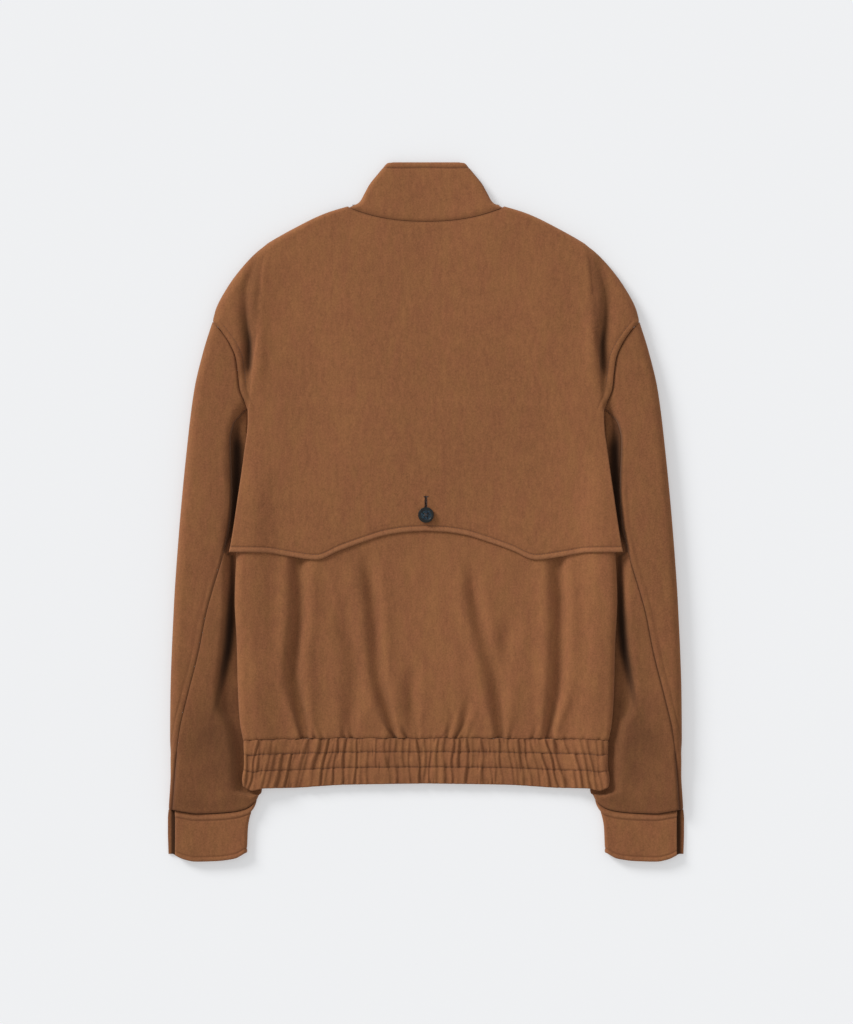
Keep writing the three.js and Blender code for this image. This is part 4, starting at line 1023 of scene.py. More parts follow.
def collarGrid(place, up):
    onBack = np.abs(place) <= 1
    share = np.where(onBack, np.abs(place), 2 - np.abs(place))
    half = collarHalf(up)
    roll, core = 6, 0.8
    turn = (share - core) / (1 - core) * math.pi / 2
    reach = np.where(share <= core, (half - roll) * share / core, half - roll + roll * np.sin(turn))
    full = circle(half - reach, roll)
    middle = collarHeight(up) / 2
    dip = np.cos(np.minimum(1, reach / half) * math.pi / 2) ** 2
    frontFoot = np.minimum(349.9, neckEdge(reach + 0.9) + mix(0.5, 2, smooth(60, 76, reach)))
    frontTop = mix(401.7, 352, np.sqrt(dip))
    backLine = mix(collarAt(up) + 0.3 * (1 - up), mix(333.7, 401.7, up), neckBow(reach / half))
    y = np.where(onBack, backLine, mix(frontFoot, frontTop, up))
    z = np.where(onBack, mix(middle, collarHeight(up), full), mix(middle, 0, full))
    return stack(np.sign(place) * np.maximum(reach, 0.4), y, z)


collarUp = np.concatenate([
    [0, 0.008, 0.02, 0.035, 0.055], np.linspace(0.08, 0.84, 26), np.linspace(0.85, 0.97, 14),
    [0.98, 0.988, 0.994, 1],
])
quarter = np.concatenate([np.linspace(0, 0.8, 22)[:-1], np.linspace(0.8, 1, 14)])
positive = np.concatenate([quarter, 2 - quarter[-2::-1]])
collarPlaces = np.concatenate([-positive[:0:-1], positive])
grid = collarGrid(collarPlaces[None, :], collarUp[:, None])
normals = gridNormals(grid, 1)
underneath = (np.abs(collarPlaces) > 1.05)[None, :] & (normals[..., 2] > 0)
normals[underneath] *= -1
levelAlong(normals[0])
onBack = (np.abs(collarPlaces) <= 1)[None, :]
dip = np.cos(np.minimum(1, np.abs(grid[..., 0]) / collarHalf(collarUp[:, None])) * math.pi / 2) ** 2
tall = mix(52.0, 68.0, dip)
fromTop = tall * (1 - collarUp[:, None])
fromFoot = tall * collarUp[:, None]
crossing = 0.45 * bump(fromTop - collar["topstitch"], 1.0)
rounding = collar["edgeRound"] * (1 - circle(fromTop, 1.8)) + 0.5 * bump(fromFoot, 1.8)
swell = 0.3 * bump(fromTop - 3.2, 2.2) + 0.3 * bump(fromFoot - 5, 4)
outer = grid + normals * (swell - crossing - rounding)[..., None]
pressedAndShaded = np.clip(0.5 * bump(fromFoot, 1.6) + 0.5 * bump(fromTop - collar["topstitch"], 0.8), 0, 1)
wornAndLit = np.clip(0.28 * bump(fromTop - 1.6, 2.0), 0, 1)
outer[..., 2] = np.maximum(outer[..., 2], 0)
inner = grid - normals * cloth["collarWall"]
seamAllowance(inner, -0.25, onBack[0])
collarPiece = sewnWall("standCollar", outer, inner, bodySuede, pressedAndShaded, wornAndLit)
dress(collarPiece, "collar", (0.36, 0.075), 0.95)

# Sleeves: a top sleeve round the outer edge and an under sleeve tucked beside the body.
sleeve = {"core": 0.55, "backStitch": 7.6, "step": 2.6, "slitTop": -276, "slitDeep": 1.0}


def sleeveInner(y):
    cap = armholeHalf(y) - 1.2 - 35 * smooth(armpit, 150, y)
    return np.where(y <= armpit, tuckHalf(y), cap)


def sleeveTop(x, y):
    full = sleeveHeight(y) * (1 - 0.12 * smooth(14, 58, outerHalf(y) - x))
    full = full + 0.4 * unevenness(x, y, 5, 80) * smooth(0, 22, outerHalf(y) - x) * ease(-345, -300, y)
    below = ease(138, 112, y)
    turned = mix(full, tuckHeight(y), below * smooth(-7, 8, turnHalf(y) - x))
    seam = backWithoutFolds(armholeHalf(y), y) + 1.2
    return mix(turned, seam, (1 - below) * bump(x - armholeHalf(y), 12))


def sleeveRing(place, y):
    inner = sleeveInner(y)
    outside = outerHalf(y)
    middle = (inner + outside) / 2
    half = (outside - inner) / 2
    wrapped = np.where(place > 3, place - 4, np.where(place < -1, place + 4, place))
    onTop = wrapped <= 1
    signed = np.where(onTop, wrapped, 2 - wrapped)
    share = np.abs(signed)
    outward = signed > 0
    tucked = np.where(y <= armpit, np.minimum(tuckHeight(y) * 0.56, 4.5), 2.7)
    roll = np.where(outward, np.minimum(11, sleeveHeight(y) * 0.68), tucked)
    core = half - roll
    turn = (share - sleeve["core"]) / (1 - sleeve["core"]) * math.pi / 2
    off = np.where(share <= sleeve["core"], core * share / sleeve["core"], core + roll * np.sin(turn))
    full = circle(half - off, roll)
    x = np.where(outward, middle + off, middle - off)
    centre = np.where(outward, sleeveHeight(y) / 2, tuckHeight(y) / 2)
    return x, np.where(onTop, mix(centre, sleeveTop(x, y), full), mix(centre, 0, full))


def ringPlace(x, y, onTop):
    low = np.full_like(y, -1.0 if onTop else 1.0)
    high = np.full_like(y, 1.0 if onTop else 3.0)
    for _ in range(40):
        at = (low + high) / 2
        beyond = sleeveRing(at, y)[0] > x
        lower = beyond == onTop
        high = np.where(lower, at, high)
        low = np.where(lower, low, at)
    return (low + high) / 2


def halfGap(place, y):
    ax, az = sleeveRing(place - 0.01, y)
    bx, bz = sleeveRing(place + 0.01, y)
    return cloth["seamGap"] / 2 * 0.02 / np.hypot(bx - ax, bz - az)


def seamPlaces(y):
    capLine = armholeHalf(y) + cloth["seamGap"] / 2 + 0.45 * smooth(200, 216, y)
    inCap = y >= armpit
    back = ringPlace(np.where(inCap, capLine, backSeamHalf(y)), y, True)
    front = ringPlace(np.where(inCap, capLine, frontSeamHalf(y)), y, False)
    return back, front


cuffEdges = {
    "across": (193.9, 205.8, 219.6, 241.5, 264.5, 278, 291),
    "seam": (-331.2, -340.6, -344.4, -346.4, -347, -345, -342.7),
    "foot": (-391, -391.8, -398.2, -401.1, -401.7, -399.2, -393),
}
cuffSeamAt = reader(cuffEdges, "across", "seam")
cuffFootAt = reader(cuffEdges, "across", "foot")


def sleeveGrid(side, places, rows):
    x, z = sleeveRing(places, rows)
    toCuff = (cuffSeamAt(x) + 348.4 + 0.55) * ease(-318, -348.4, rows)
    return stack(side * x, rows + toCuff, z)


def ringNormals(side, places, rows):
    across = sleeveGrid(side, places + 0.01, rows) - sleeveGrid(side, places - 0.01, rows)
    along = sleeveGrid(side, places, rows + 0.4) - sleeveGrid(side, places, rows - 0.4)
    normals = unit(np.cross(across, along)) * side
    last = rows[:, 0] < -348
    normals[last, :, 1] = 0
    return unit(normals)


def armholeNormals(side, rows, upward):
    bend = armholeHalf(rows + 1) - armholeHalf(rows - 1)
    spread = armholeSpread(rows)[:, None]
    out = unit(np.stack([np.full_like(rows, side * 2.0), -bend, np.zeros_like(rows)], axis=1))
    return unit(out * (1 - spread) + np.array([0, 0, upward]) * spread)


# Where the sleeve turns in beside the body: the middle of the hollow, how wide it is and how strong its
# painted shade is.
sleeveHollow = {
    "at": (-250, -227, -204, -180, -155, -130, -104, -70, -52, -45, -20, 2, 25, 48, 71, 94, 112),
    "half": (
        250, 242.6, 236.3, 231.7, 227, 224.8, 223.7, 222.5, 222.5,
        230, 223.7, 220.8, 218.5, 217, 217, 218.5, 214,
    ),
    "width": (1.5, 2.5, 3.6, 4.6, 5.6, 5.6, 4.4, 3.2, 2.6, 1.6, 2.4, 3, 5.4, 7.4, 7.4, 5, 2),
    "dark": (0, 0.2, 0.55, 0.84, 0.95, 0.95, 0.88, 0.7, 0.6, 0.6, 0.85, 0.94, 0.95, 0.95, 0.95, 0.6, 0.2),
}
hollowHalf = reader(sleeveHollow, "at", "half")
hollowWidth = reader(sleeveHollow, "at", "width")
hollowDark = reader(sleeveHollow, "at", "dark")
# Broad painted shade over the lower sleeve, strongest toward the body.
lowerSleeveShade = {
    "at": (-348, -320, -260, -200, -120, -40, 60, 140, 215),
    "broadShade": (0.16, 0.3, 0.34, 0.26, 0.16, 0.08, 0.04, 0.02, 0),
}
lowerSleeveShadeAt = reader(lowerSleeveShade, "at", "broadShade")

capRows = steps(217.9, (215.5, 0.8), (118.4, sleeve["step"]))
tubeRows = steps(117.4, (108, 1.2), (-340, sleeve["step"]), (-348.4, 0.8))


def sleeveShape(side, rows, places, inCap):
    rows = rows[:, None]
    grid = sleeveGrid(side, places, rows)
    normals = ringNormals(side, places, rows)
    cap = rows[:, 0] > armpit
    if inCap:
        normals[cap, 0] = armholeNormals(side, rows[cap, 0], 1)
        normals[cap, -1] = armholeNormals(side, rows[cap, 0], -1)
    return grid, normals


# Dents, swells, pressed seams and painted shade of a sleeve piece, from its place on the ring: shade in the
# slit, in the hollow beside the body and over the lower sleeve.
def sleeveLook(grid, rows, places, isTop):
    x, y = np.abs(grid[..., 0]), rows[:, None] + 0 * grid[..., 0]
    onTop = (places <= 1) & (places >= -1)
    fromSeam = np.where(y < armpit, np.abs(x - backSeamHalf(y)), np.abs(x - armholeHalf(y)))
    fromSeam = np.where(onTop, fromSeam, 99)
    fromCuff = y + 348.4
    opened = ease(sleeve["slitTop"] + 5, sleeve["slitTop"] - 5, y)
    fall = 0.4 * bump(fromSeam, 1.5) + 0.5 * bump(fromCuff, 1.8)
    fall = fall + sleeve["slitDeep"] * opened * bump(fromSeam, 1.8)
    # Painted shade in the opened slit, widening down to the cuff.
    wedge = mix(1.6, 3.4, smooth(sleeve["slitTop"], -348.4, y))
    pressedAndShaded = 0.45 * bump(fromSeam, 1.4) + 0.9 * opened * bump(fromSeam, wedge) + 0.5 * bump(fromCuff, 1.5)
    swell = 0 * x
    if isTop:
        stitched = np.where(y < 100, fromSeam - sleeve["backStitch"], 99)
        fall = fall + 0.45 * bump(stitched, 1.1)
        pressedAndShaded = pressedAndShaded + 0.38 * bump(stitched, 0.9)
        swell = np.where(y < 100, 0.3 * bump(fromSeam - 4, 2.4), 0)
    off = np.abs(x - hollowHalf(y)) / hollowWidth(y)
    hollowShade = hollowDark(y) * np.exp(-(off**3) * 0.8) * ease(116, 108, y)
    inward = smooth(backSeamHalf(y) + 20, backSeamHalf(y) - 45, x)
    broadShade = lowerSleeveShadeAt(y) * (0.3 + 0.75 * inward) * (1 + 0.3 * unevenness(x, y, 13, 60))
    broadShade = broadShade * (1 - 0.75 * opened * smooth(backSeamHalf(y), backSeamHalf(y) + 2, x))
    paintedShade = np.clip(broadShade + hollowShade * (1 - broadShade), 0, 1)
    return swell - fall, np.clip(pressedAndShaded, 0, 1), np.where(onTop, paintedShade, 0)


for hand, side in (("left", -1), ("right", 1)):
    rows = np.concatenate([capRows, tubeRows])
    back, front = seamPlaces(rows)
    parted = rows < armpit
    back = np.where(parted, back + halfGap(back, rows), back)
    front = np.where(parted, front - halfGap(front, rows), front)
    over = np.linspace(0, 1, 30)[None, :] ** 0.9
    beneath = np.linspace(0, 1, 18)[None, 1:]
    places = np.concatenate([mix(back[:, None], 1, over), mix(1, front[:, None], beneath)], axis=1)
    grid, normals = sleeveShape(side, rows, places, True)
    moved, pressedAndShaded, paintedShade = sleeveLook(grid, rows, places, True)
    outer, inner = grid + normals * moved[..., None], grid - normals * cloth["wall"]
    top = sewnWall(f"sleeveTop{hand.title()}", outer, inner, sleeveSuedeShaded, pressedAndShaded, None, paintedShade)
    dress(top, f"sleeve_top_{hand}", (0.17, 0.57), 0.56)

    back, front = seamPlaces(tubeRows)
    back = back - halfGap(back, tubeRows)
    front = front + halfGap(front, tubeRows)
    under = mix(front[:, None] - 4, -1, np.linspace(0, 1, 22)[None, :] ** 0.9)
    above = mix(-1, back[:, None], np.linspace(0, 1, 40)[None, 1:] ** 1.1)
    places = np.concatenate([under, above], axis=1)
    grid, normals = sleeveShape(side, tubeRows, places, False)
    moved, pressedAndShaded, paintedShade = sleeveLook(grid, tubeRows, places, False)
    outer, inner = grid + normals * moved[..., None], grid - normals * cloth["wall"]
    lowerSleeve = sewnWall(f"sleeveUnder{hand.title()}", outer, inner, sleeveSuedeShaded, pressedAndShaded, None, paintedShade)
    dress(lowerSleeve, f"sleeve_under_{hand}", (0.13, 0.47), 0.7)

# Cuffs: a band round each wrist, its free end over the wrap that shows past it.
cuff = {"seamStitch": 7.5, "footStitch": 5.4, "edgeRound": 1.1, "height": 8.4, "endHeight": 7.6}
cuffSides = {
    "down": (0, 0.2, 0.45, 1),
    "inner": (193.9, 201.8, 204.4, 205.8),
    "top": (288.6, 288.2, 288.2, 288.4),
    "wrap": (296, 296.7, 296.7, 296),
}
cuffInner = reader(cuffSides, "down", "inner")
cuffTopEnd = reader(cuffSides, "down", "top")
cuffWrap = reader(cuffSides, "down", "wrap")


def cuffGrid(side, place, down):
    onTop = place <= 1
    share = np.where(onTop, place, 2 - place)
    roll, core = 4.4, 0.65
    inner = cuffInner(down)
    end = np.where(onTop, cuffTopEnd(down), cuffWrap(down))
    turn = (share - core) / (1 - core) * math.pi / 2
    x = np.where(share <= core, mix(end, inner + roll, share / core), inner + roll - roll * np.sin(turn))
    full = circle(x - inner, roll)
    height = mix(cuff["height"], cuff["endHeight"], smooth(262, 291, x))
    z = np.where(onTop, mix(cuff["height"] / 2, height, full), mix(cuff["height"] / 2, 0, full))
    y = mix(cuffSeamAt(x) - cloth["seamGap"] / 2, cuffFootAt(x), down)
    return stack(side * x, y, z)


cuffDown = np.concatenate([
    [0, 0.01, 0.025], np.linspace(0.045, 0.2, 13), np.linspace(0.22, 0.8, 20), np.linspace(0.82, 0.97, 13),
    [0.98, 0.99, 0.996, 1],
])
cuffEnd = np.array([0, 0.002, 0.005, 0.01, 0.016, 0.024, 0.034])
cuffHalf = np.concatenate([cuffEnd, np.linspace(0.045, 0.65, 30), np.linspace(0.65, 1, 14)[1:]])
cuffPlaces = np.concatenate([cuffHalf, 2 - cuffHalf[-2::-1]])
for hand, side in (("left", -1), ("right", 1)):
    grid = cuffGrid(side, cuffPlaces[None, :], cuffDown[:, None])
    normals = gridNormals(grid, side)
    levelAlong(normals[0])
    x = np.abs(grid[..., 0])
    long = cuffSeamAt(x) - cuffFootAt(x)
    fromSeam, fromFoot = long * cuffDown[:, None], long * (1 - cuffDown[:, None])
    toEnd = np.where(cuffPlaces[None, :] < 0.4, cuffTopEnd(cuffDown[:, None]) - x, 99)
    dents = 0.6 * bump(fromSeam - cuff["seamStitch"], 1.0) + 0.5 * bump(fromFoot - cuff["footStitch"], 1.0)
    rounding = cuff["edgeRound"] * (2 - circle(fromFoot, 1.6) - circle(toEnd, 1.5))
    rounding = rounding + 0.5 * bump(fromSeam, 1.6)
    swell = 0.35 * bump(fromSeam - 4, 2.2) + 0.3 * bump(fromFoot - 2.6, 1.8)
    soft = 0.3 * unevenness(x, grid[..., 1], 9, 45) * smooth(0, 10, fromSeam) * smooth(0, 10, fromFoot)
    outer = grid + normals * (swell + soft - dents - rounding)[..., None]
    outer[..., 2] = np.maximum(outer[..., 2], 0)
    pressedAndShaded = 0.5 * bump(fromSeam, 1.5) + 0.6 * bump(fromSeam - cuff["seamStitch"], 0.9)
    pressedAndShaded = pressedAndShaded + 0.45 * bump(fromFoot - cuff["footStitch"], 0.8) + 0.5 * bump(toEnd + 0.3, 0.8)
    pressedAndShaded = np.clip(pressedAndShaded, 0, 1)
    wornAndLit = 0.3 * bump(fromFoot - 1.2, 1.8) + 0.25 * bump(toEnd - 1, 1.5) + 0.28 * bump(fromSeam - 4.4, 2)
    wornAndLit = np.clip(wornAndLit, 0, 1)
    # Painted shade inside the cuff, under its free end.
    shaded = np.where(cuffPlaces[None, :] > 1, 0.8 * ease(294.5, 291.5, x), 0)
    inner = grid - normals * cloth["cuffWall"]
    seamAllowance(inner, 0.62)
    cuffPiece = sewnWall(f"cuff{hand.title()}", outer, inner, sleeveSuedeShaded, pressedAndShaded, wornAndLit, None, shaded)
    dress(cuffPiece, f"cuff_{hand}", (0.22, 0.06), 0.95)

# Topstitching: a Geometry Nodes run of single stitches along each line, laid on its piece.
stitching = {"pitch": 3.1, "length": 2.4, "width": 0.62, "sink": 0.12}


# Even stitches along every line of the mesh it is given.
def stitchTree():
    tree = bpy.data.node_groups.new("stitchRun", "GeometryNodeTree")
    tree.is_modifier = True
    faces = tree.interface
    faces.new_socket("Lines", in_out="INPUT", socket_type="NodeSocketGeometry")
    for name, value in (("Pitch", 3.1), ("Stitch Length", 2.4), ("Thread Width", 0.6)):
        socket = faces.new_socket(name, in_out="INPUT", socket_type="NodeSocketFloat")
        socket.default_value = value / 1000
    faces.new_socket("Seed", in_out="INPUT", socket_type="NodeSocketInt")
    faces.new_socket("Thread", in_out="INPUT", socket_type="NodeSocketMaterial")
    faces.new_socket("Stitches", in_out="OUTPUT", socket_type="NodeSocketGeometry")
    given = tree.nodes.new("NodeGroupInput")
    result = tree.nodes.new("NodeGroupOutput")
    link = tree.links.new
    curves = tree.nodes.new("GeometryNodeMeshToCurve")
    link(given.outputs["Lines"], curves.inputs[0])
    even = tree.nodes.new("GeometryNodeResampleCurve")
    even.mode = "LENGTH"
    link(curves.outputs[0], even.inputs["Curve"])
    link(given.outputs["Pitch"], even.inputs["Length"])
    tangent = tree.nodes.new("GeometryNodeInputTangent")
    turn = tree.nodes.new("FunctionNodeAlignRotationToVector")
    turn.axis = "X"
    link(tangent.outputs[0], turn.inputs["Vector"])
    ball = tree.nodes.new("GeometryNodeMeshUVSphere")
    ball.inputs["Segments"].default_value = 6
    ball.inputs["Rings"].default_value = 4
    ball.inputs["Radius"].default_value = 0.5
    size = tree.nodes.new("ShaderNodeCombineXYZ")
    link(given.outputs["Stitch Length"], size.inputs["X"])
    link(given.outputs["Thread Width"], size.inputs["Y"])
    link(given.outputs["Thread Width"], size.inputs["Z"])
    shaped = tree.nodes.new("GeometryNodeTransform")
    link(ball.outputs["Mesh"], shaped.inputs["Geometry"])
    link(size.outputs[0], shaped.inputs["Scale"])
    vary = tree.nodes.new("FunctionNodeRandomValue")
    vary.data_type = "FLOAT"
    low, high = [s for s in vary.inputs if s.type == "VALUE"][:2]
    low.default_value, high.default_value = 0.86, 1.1
    link(given.outputs["Seed"], vary.inputs["Seed"])
    each = tree.nodes.new("GeometryNodeInstanceOnPoints")
    link(even.outputs[0], each.inputs["Points"])
    link(shaped.outputs[0], each.inputs["Instance"])
    link(turn.outputs[0], each.inputs["Rotation"])
    link([s for s in vary.outputs if s.type == "VALUE"][0], each.inputs["Scale"])
    real = tree.nodes.new("GeometryNodeRealizeInstances")
    link(each.outputs[0], real.inputs[0])
    dyed = tree.nodes.new("GeometryNodeSetMaterial")
    link(real.outputs[0], dyed.inputs["Geometry"])
    link(given.outputs["Thread"], dyed.inputs["Material"])
    link(dyed.outputs[0], result.inputs[0])
    return tree


stitchRun = stitchTree()


# Points on top of a piece, found by looking straight down.
def restOn(piece, x, y):
    mesh = piece.data
    tree = BVHTree.FromPolygons([v.co for v in mesh.vertices], [tuple(p.vertices) for p in mesh.polygons])
    points = []
    for px, py in zip(x, y):
        spot, _, _, _ = tree.ray_cast(Vector((px / 1000, py / 1000, 0.2)), Vector((0, 0, -1)))
        if spot is not None:
            points.append((spot.x, spot.y, spot.z - stitching["sink"] / 1000))
    return points


# Lines are pairs of x and y along a piece. The run of stitches becomes a plain mesh of its own.
def sew(name, piece, lines, thread, seed):
    points, edges = [], []
    for x, y in lines:
        found = restOn(piece, x, y)
        edges += [(len(points) + i, len(points) + i + 1) for i in range(len(found) - 1)]
        points += found
    mesh = bpy.data.meshes.new(name + "Lines")
    mesh.from_pydata(points, edges, [])
    guide = bpy.data.objects.new(name + "Lines", mesh)
    bpy.context.collection.objects.link(guide)
    run = guide.modifiers.new("stitchRun", "NODES")
    run.node_group = stitchRun
    ids = {item.name: item.identifier for item in stitchRun.interface.items_tree if item.in_out == "INPUT"}
    run[ids["Pitch"]] = stitching["pitch"] / 1000
    run[ids["Stitch Length"]] = stitching["length"] / 1000
    run[ids["Thread Width"]] = stitching["width"] / 1000
    run[ids["Seed"]] = seed
    run[ids["Thread"]] = thread
    ready = guide.evaluated_get(bpy.context.evaluated_depsgraph_get())
    sewn = bpy.data.meshes.new_from_object(ready)
    sewn.name = name
    guide.modifiers.clear()
    bpy.data.objects.remove(guide)
    stitches = bpy.data.objects.new(name, sewn)
    bpy.context.collection.objects.link(stitches)
    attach(stitches, "root")
    print(f"{name}: {sum(len(p.vertices) - 2 for p in sewn.polygons)} triangles")
    return stitches


across = np.linspace(-222, 222, 260)
hemLine = (across, flapFoot(np.abs(across)) + flap["topstitch"])
alongArm = np.linspace(213, 150, 60)
armLines = [(side * (armholeHalf(alongArm) - flap["armholeStitch"]), alongArm) for side in (-1, 1)]
sew("flapTopstitch", backFlap, [hemLine, *armLines], seamThread, 4)
bandAcross = np.linspace(-205, 205, 520)
bandLines = []
for share in hemBand["stitchRows"]:
    top = hemSeam["at"] - hemSeam["sideDrop"] * (np.abs(bandAcross) / 210) ** 4
    bandLines.append((bandAcross, mix(top, bandFoot(np.abs(bandAcross)), share)))
sew("hemBandStitches", band, bandLines, seamThread, 5)
collarAcross = np.linspace(-44, 44, 60)
collarLine = (collarAcross, np.full(60, 401.7 - collar["topstitch"]))
sew("collarTopstitch", collarPiece, [collarLine], seamThread, 6)
print("stitches sewn")

# Button with a dished face, a raised rim and four holes, and the crossed thread that holds it.
backTop = float(backWithoutFolds(np.array(0.0), np.array(button["at"])))
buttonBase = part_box("flap_button")[0][2] * 1000


# A closed round solid from its profile of (radius, height).
def turned(name, profile, segments, material):
    points, faces = [(0, 0, profile[0][1])], []
    for radius, height in profile[1:-1]:
        for i in range(segments):
            angle = math.tau * i / segments
            points.append((radius * math.cos(angle), radius * math.sin(angle), height))
    points.append((0, 0, profile[-1][1]))
    rings = len(profile) - 2
    last = len(points) - 1
    for i in range(segments):
        j = (i + 1) % segments
        faces.append((0, 1 + j, 1 + i))
        for ring in range(rings - 1):
            a, b = 1 + ring * segments, 1 + (ring + 1) * segments
            faces.append((a + i, a + j, b + j, b + i))
        end = 1 + (rings - 1) * segments
        faces.append((end + i, end + j, last))
    mesh = bpy.data.meshes.new(name)
    mesh.from_pydata([tuple(c / 1000 for c in p) for p in points], [], faces)
    mesh.materials.append(material)
    made = bpy.data.objects.new(name, mesh)
    bpy.context.collection.objects.link(made)
    return made


def rimProfile():
    radius, thick, rim = button["across"] / 2, button["thick"], button["rimWidth"]
    face = thick - button["dish"]
    low, high = 1.0, 0.7
    profile = [(0, 0), (radius - low, 0)]
    for angle in np.linspace(0.2, math.pi / 2, 6):
        profile.append((radius - low + low * math.sin(angle), low - low * math.cos(angle)))
    for angle in np.linspace(0, math.pi / 2, 6):
        profile.append((radius - high + high * math.cos(angle), thick - high + high * math.sin(angle)))
    profile += [(radius - rim + 0.5, thick), (radius - rim, thick - 0.05)]
    profile += [(radius - rim - 0.5, thick - 0.35), (radius - rim - 1.1, face + 0.05)]
    profile += [(radius - rim - 1.6, face), (0, face)]
    return profile


disc = turned("disc", rimProfile(), 72, marbledButton)
spread = button["holeSpread"] / 1.42
holes = [(sx * spread, sy * spread) for sx in (-1, 1) for sy in (-1, 1)]
bore = button["holeAcross"] / 2
for i, (hx, hy) in enumerate(holes):
    drill = turned(f"drill{i}", [(0, -2), (bore, -2), (bore, 5), (0, 5)], 20, marbledButton)
    for vertex in drill.data.vertices:
        vertex.co.x += hx / 1000
        vertex.co.y += hy / 1000
    cut = disc.modifiers.new(f"hole{i}", "BOOLEAN")
    cut.object = drill
    cut.operation = "DIFFERENCE"
    cut.solver = "EXACT"
ready = disc.evaluated_get(bpy.context.evaluated_depsgraph_get())
buttonMesh = bpy.data.meshes.new_from_object(ready)
disc.modifiers.clear()
for made in [disc] + [bpy.data.objects[f"drill{i}"] for i in range(4)]:
    bpy.data.objects.remove(made)
for vertex in buttonMesh.vertices:
    vertex.co.y += button["at"] / 1000
    vertex.co.z += buttonBase / 1000
buttonMesh.materials.clear()
buttonMesh.materials.append(marbledButton)
buttonMesh.shade_smooth()
buttonMesh.set_sharp_from_angle(angle=math.radians(38))
flapButton = bpy.data.objects.new("flapButton", buttonMesh)
bpy.context.collection.objects.link(flapButton)
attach(flapButton, "root")
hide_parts("flap_button")


# Vertices and faces of a closed round strand along a few points.
def tube(points, radius, sides=8):
    path = np.array(points, float)
    ahead = unit(np.gradient(path, axis=0))
    guide = np.array([0.3, 0.9, 0.31])
    across = unit(np.cross(ahead, guide))
    up = np.cross(ahead, across)
    angles = np.linspace(0, math.tau, sides, endpoint=False)
    turning = across[:, None] * np.cos(angles)[None, :, None] + up[:, None] * np.sin(angles)[None, :, None]
    rings = path[:, None] + radius * turning
    vertices = rings.reshape(-1, 3).tolist()
    faces = []
    for r in range(len(path) - 1):
        for i in range(sides):
            j = (i + 1) % sides
            faces.append((r * sides + i, r * sides + j, (r + 1) * sides + j, (r + 1) * sides + i))
    faces.append(tuple(range(sides))[::-1])
    faces.append(tuple((len(path) - 1) * sides + i for i in range(sides)))
    return vertices, faces


def strands(name, paths, radius, material):
    vertices, faces = [], []
    for path in paths:
        more, around = tube(path, radius)
        faces += [tuple(i + len(vertices) for i in face) for face in around]
        vertices += more
    mesh = bpy.data.meshes.new(name)
    mesh.from_pydata([tuple(c / 1000 for c in v) for v in vertices], [], faces)
    mesh.materials.append(material)
    mesh.shade_smooth()
    edit = bmesh.new()
    edit.from_mesh(mesh)
    bmesh.ops.recalc_face_normals(edit, faces=edit.faces)
    edit.to_mesh(mesh)
    edit.free()
    made = bpy.data.objects.new(name, mesh)
    bpy.context.collection.objects.link(made)
    return made


faceAt = buttonBase + button["thick"] - button["dish"]
paths = []
for (ax, ay), (bx, by) in ((holes[0], holes[3]), (holes[1], holes[2])):
    beside = np.array([-(by - ay), bx - ax]) / math.hypot(bx - ax, by - ay)
    for shift in (-0.42, 0, 0.42):
        path = []
        for t in np.linspace(0, 1, 13):
            px = mix(ax, bx, t) + shift * beside[0]
            py = mix(ay, by, t) + shift * beside[1] + button["at"]
            path.append((px, py, faceAt - 0.5 + 1.15 * math.sin(t * math.pi) ** 0.45))
        path[0] = (path[0][0], path[0][1], faceAt - 2.2)
        path[-1] = (path[-1][0], path[-1][1], faceAt - 2.2)
        paths.append(path)
for i in range(6):
    angle = math.tau * i / 6
    low = (0.5 * math.cos(angle), button["at"] - 0.6 + 1.2 * math.sin(angle))
    paths.append([(low[0], low[1], z) for z in np.linspace(backTop + 0.5, buttonBase + 0.6, 5)])
crossed = strands("buttonThread", paths, 0.27, buttonThread)
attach(crossed, "root")
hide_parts("button_thread")

# Buttonhole: satin stitches along both lips of the slit and a bar tack across its top.
lipStitches = []
for side in (-1, 1):
    for y in np.arange(buttonhole["foot"] + 10, buttonhole["top"], 0.62):
        lipStitches.append((np.linspace(side * 0.5, side * 1.5, 4), np.full(4, y)))
for y in np.arange(buttonhole["top"] - 0.2, buttonhole["top"] + 0.8, 0.4):
    lipStitches.append((np.linspace(-2.8, 2.8, 7), np.full(7, y)))


def satin(name, piece, lines, radius, material):
    paths = []
    for x, y in lines:
        paths.append([(px * 1000, py * 1000, pz * 1000 + 0.22) for px, py, pz in restOn(piece, x, y)])
    made = strands(name, [path for path in paths if len(path) > 2], radius, material)
    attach(made, "root")
    return made


satin("buttonholeStitches", backFlap, lipStitches, 0.25, holeThread)
print("button and buttonhole made")

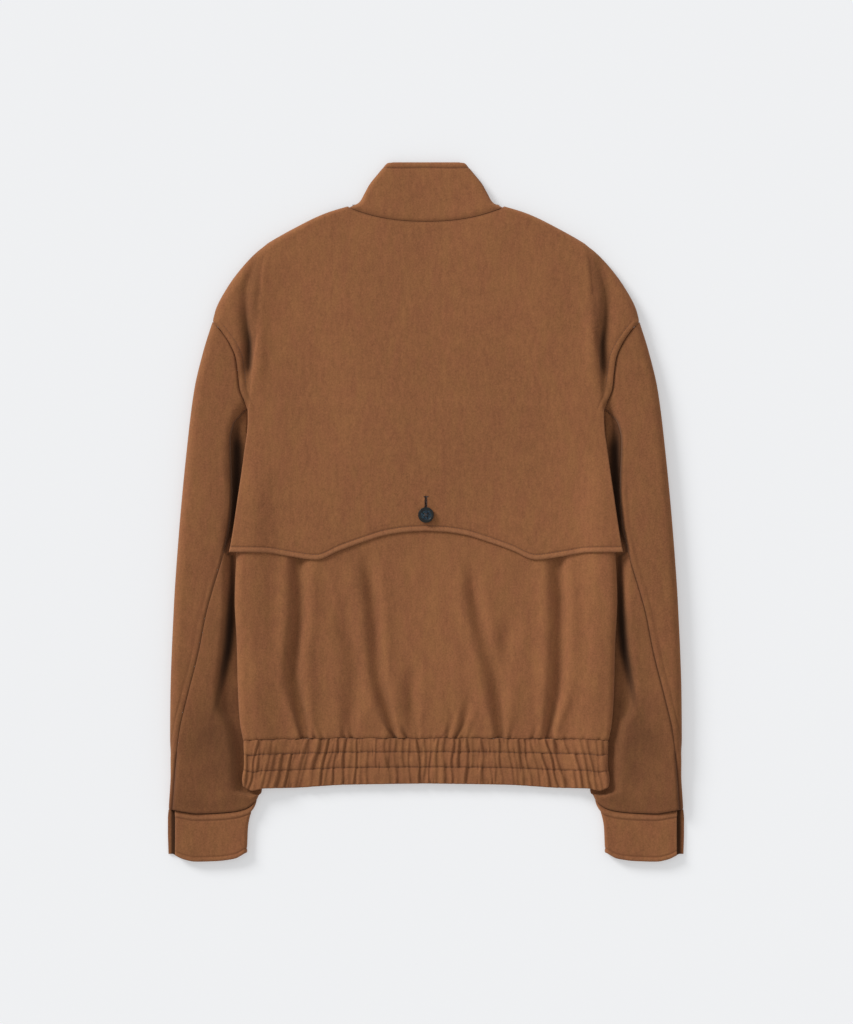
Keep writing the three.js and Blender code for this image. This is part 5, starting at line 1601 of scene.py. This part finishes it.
# Floor lit softly from below like a light table, light and camera.
floorMaterial, tree = newMaterial("paleFloor")
shader = node(tree, "ShaderNodeBsdfPrincipled", Roughness=0.9)
spot = tree.nodes.new("ShaderNodeTexCoord").outputs["Object"]
cast = blend(tree, noise(tree, spot, 3.0, 2), (0.560, 0.566, 0.578), (0.566, 0.572, 0.584))
tree.links.new(cast, shader.inputs["Base Color"])
shader.inputs["Specular IOR Level"].default_value = 0.0
shader.inputs["Emission Color"].default_value = (0.982, 0.990, 1.0, 1)
shader.inputs["Emission Strength"].default_value = 0.345
out = tree.nodes.new("ShaderNodeOutputMaterial")
tree.links.new(shader.outputs[0], out.inputs["Surface"])
floorMesh = bpy.data.meshes.new("floor")
corners = [(-3, -3), (3, -3), (3, 3), (-3, 3)]
floorMesh.from_pydata([(x, y, -0.0002) for x, y in corners], [], [(0, 1, 2, 3)])
floorMesh.materials.append(floorMaterial)
floor = bpy.data.objects.new("floor", floorMesh)
bpy.context.collection.objects.link(floor)
floor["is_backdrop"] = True

light = {"ambient": 0.60, "key": 2.75, "softness": 19, "height": 22.5, "turn": 138}
world = bpy.data.worlds.new("studio")
bpy.context.scene.world = world
world.use_nodes = True
world.node_tree.nodes["Background"].inputs["Color"].default_value = (1, 1, 1, 1)
world.node_tree.nodes["Background"].inputs["Strength"].default_value = light["ambient"]
keyLight = bpy.data.lights.new("key", "SUN")
keyLight.energy = light["key"]
keyLight.angle = math.radians(light["softness"])
key = bpy.data.objects.new("key", keyLight)
bpy.context.collection.objects.link(key)
rise, around = math.radians(light["height"]), math.radians(light["turn"])
towards = Vector((math.cos(rise) * math.cos(around), math.cos(rise) * math.sin(around), math.sin(rise)))
key.rotation_euler = towards.to_track_quat("Z", "Y").to_euler()

view = {"tall": 1.1776, "away": 6.0, "aside": 0.0006}
cameraData = bpy.data.cameras.new("camera")
cameraData.sensor_fit = "VERTICAL"
cameraData.sensor_height = 24
cameraData.lens = 24 * view["away"] / view["tall"]
cameraData.clip_end = 50
camera = bpy.data.objects.new("camera", cameraData)
camera.location = (view["aside"], 0, view["away"])
bpy.context.collection.objects.link(camera)
bpy.context.scene.camera = camera
bpy.context.scene.view_settings.view_transform = "Standard"
print("floor, light and camera set")

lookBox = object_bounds()
boxes = {"cad": cadBox, "look": lookBox}
plain = {name: [[float(c) for c in corner] for corner in box] for name, box in boxes.items()}
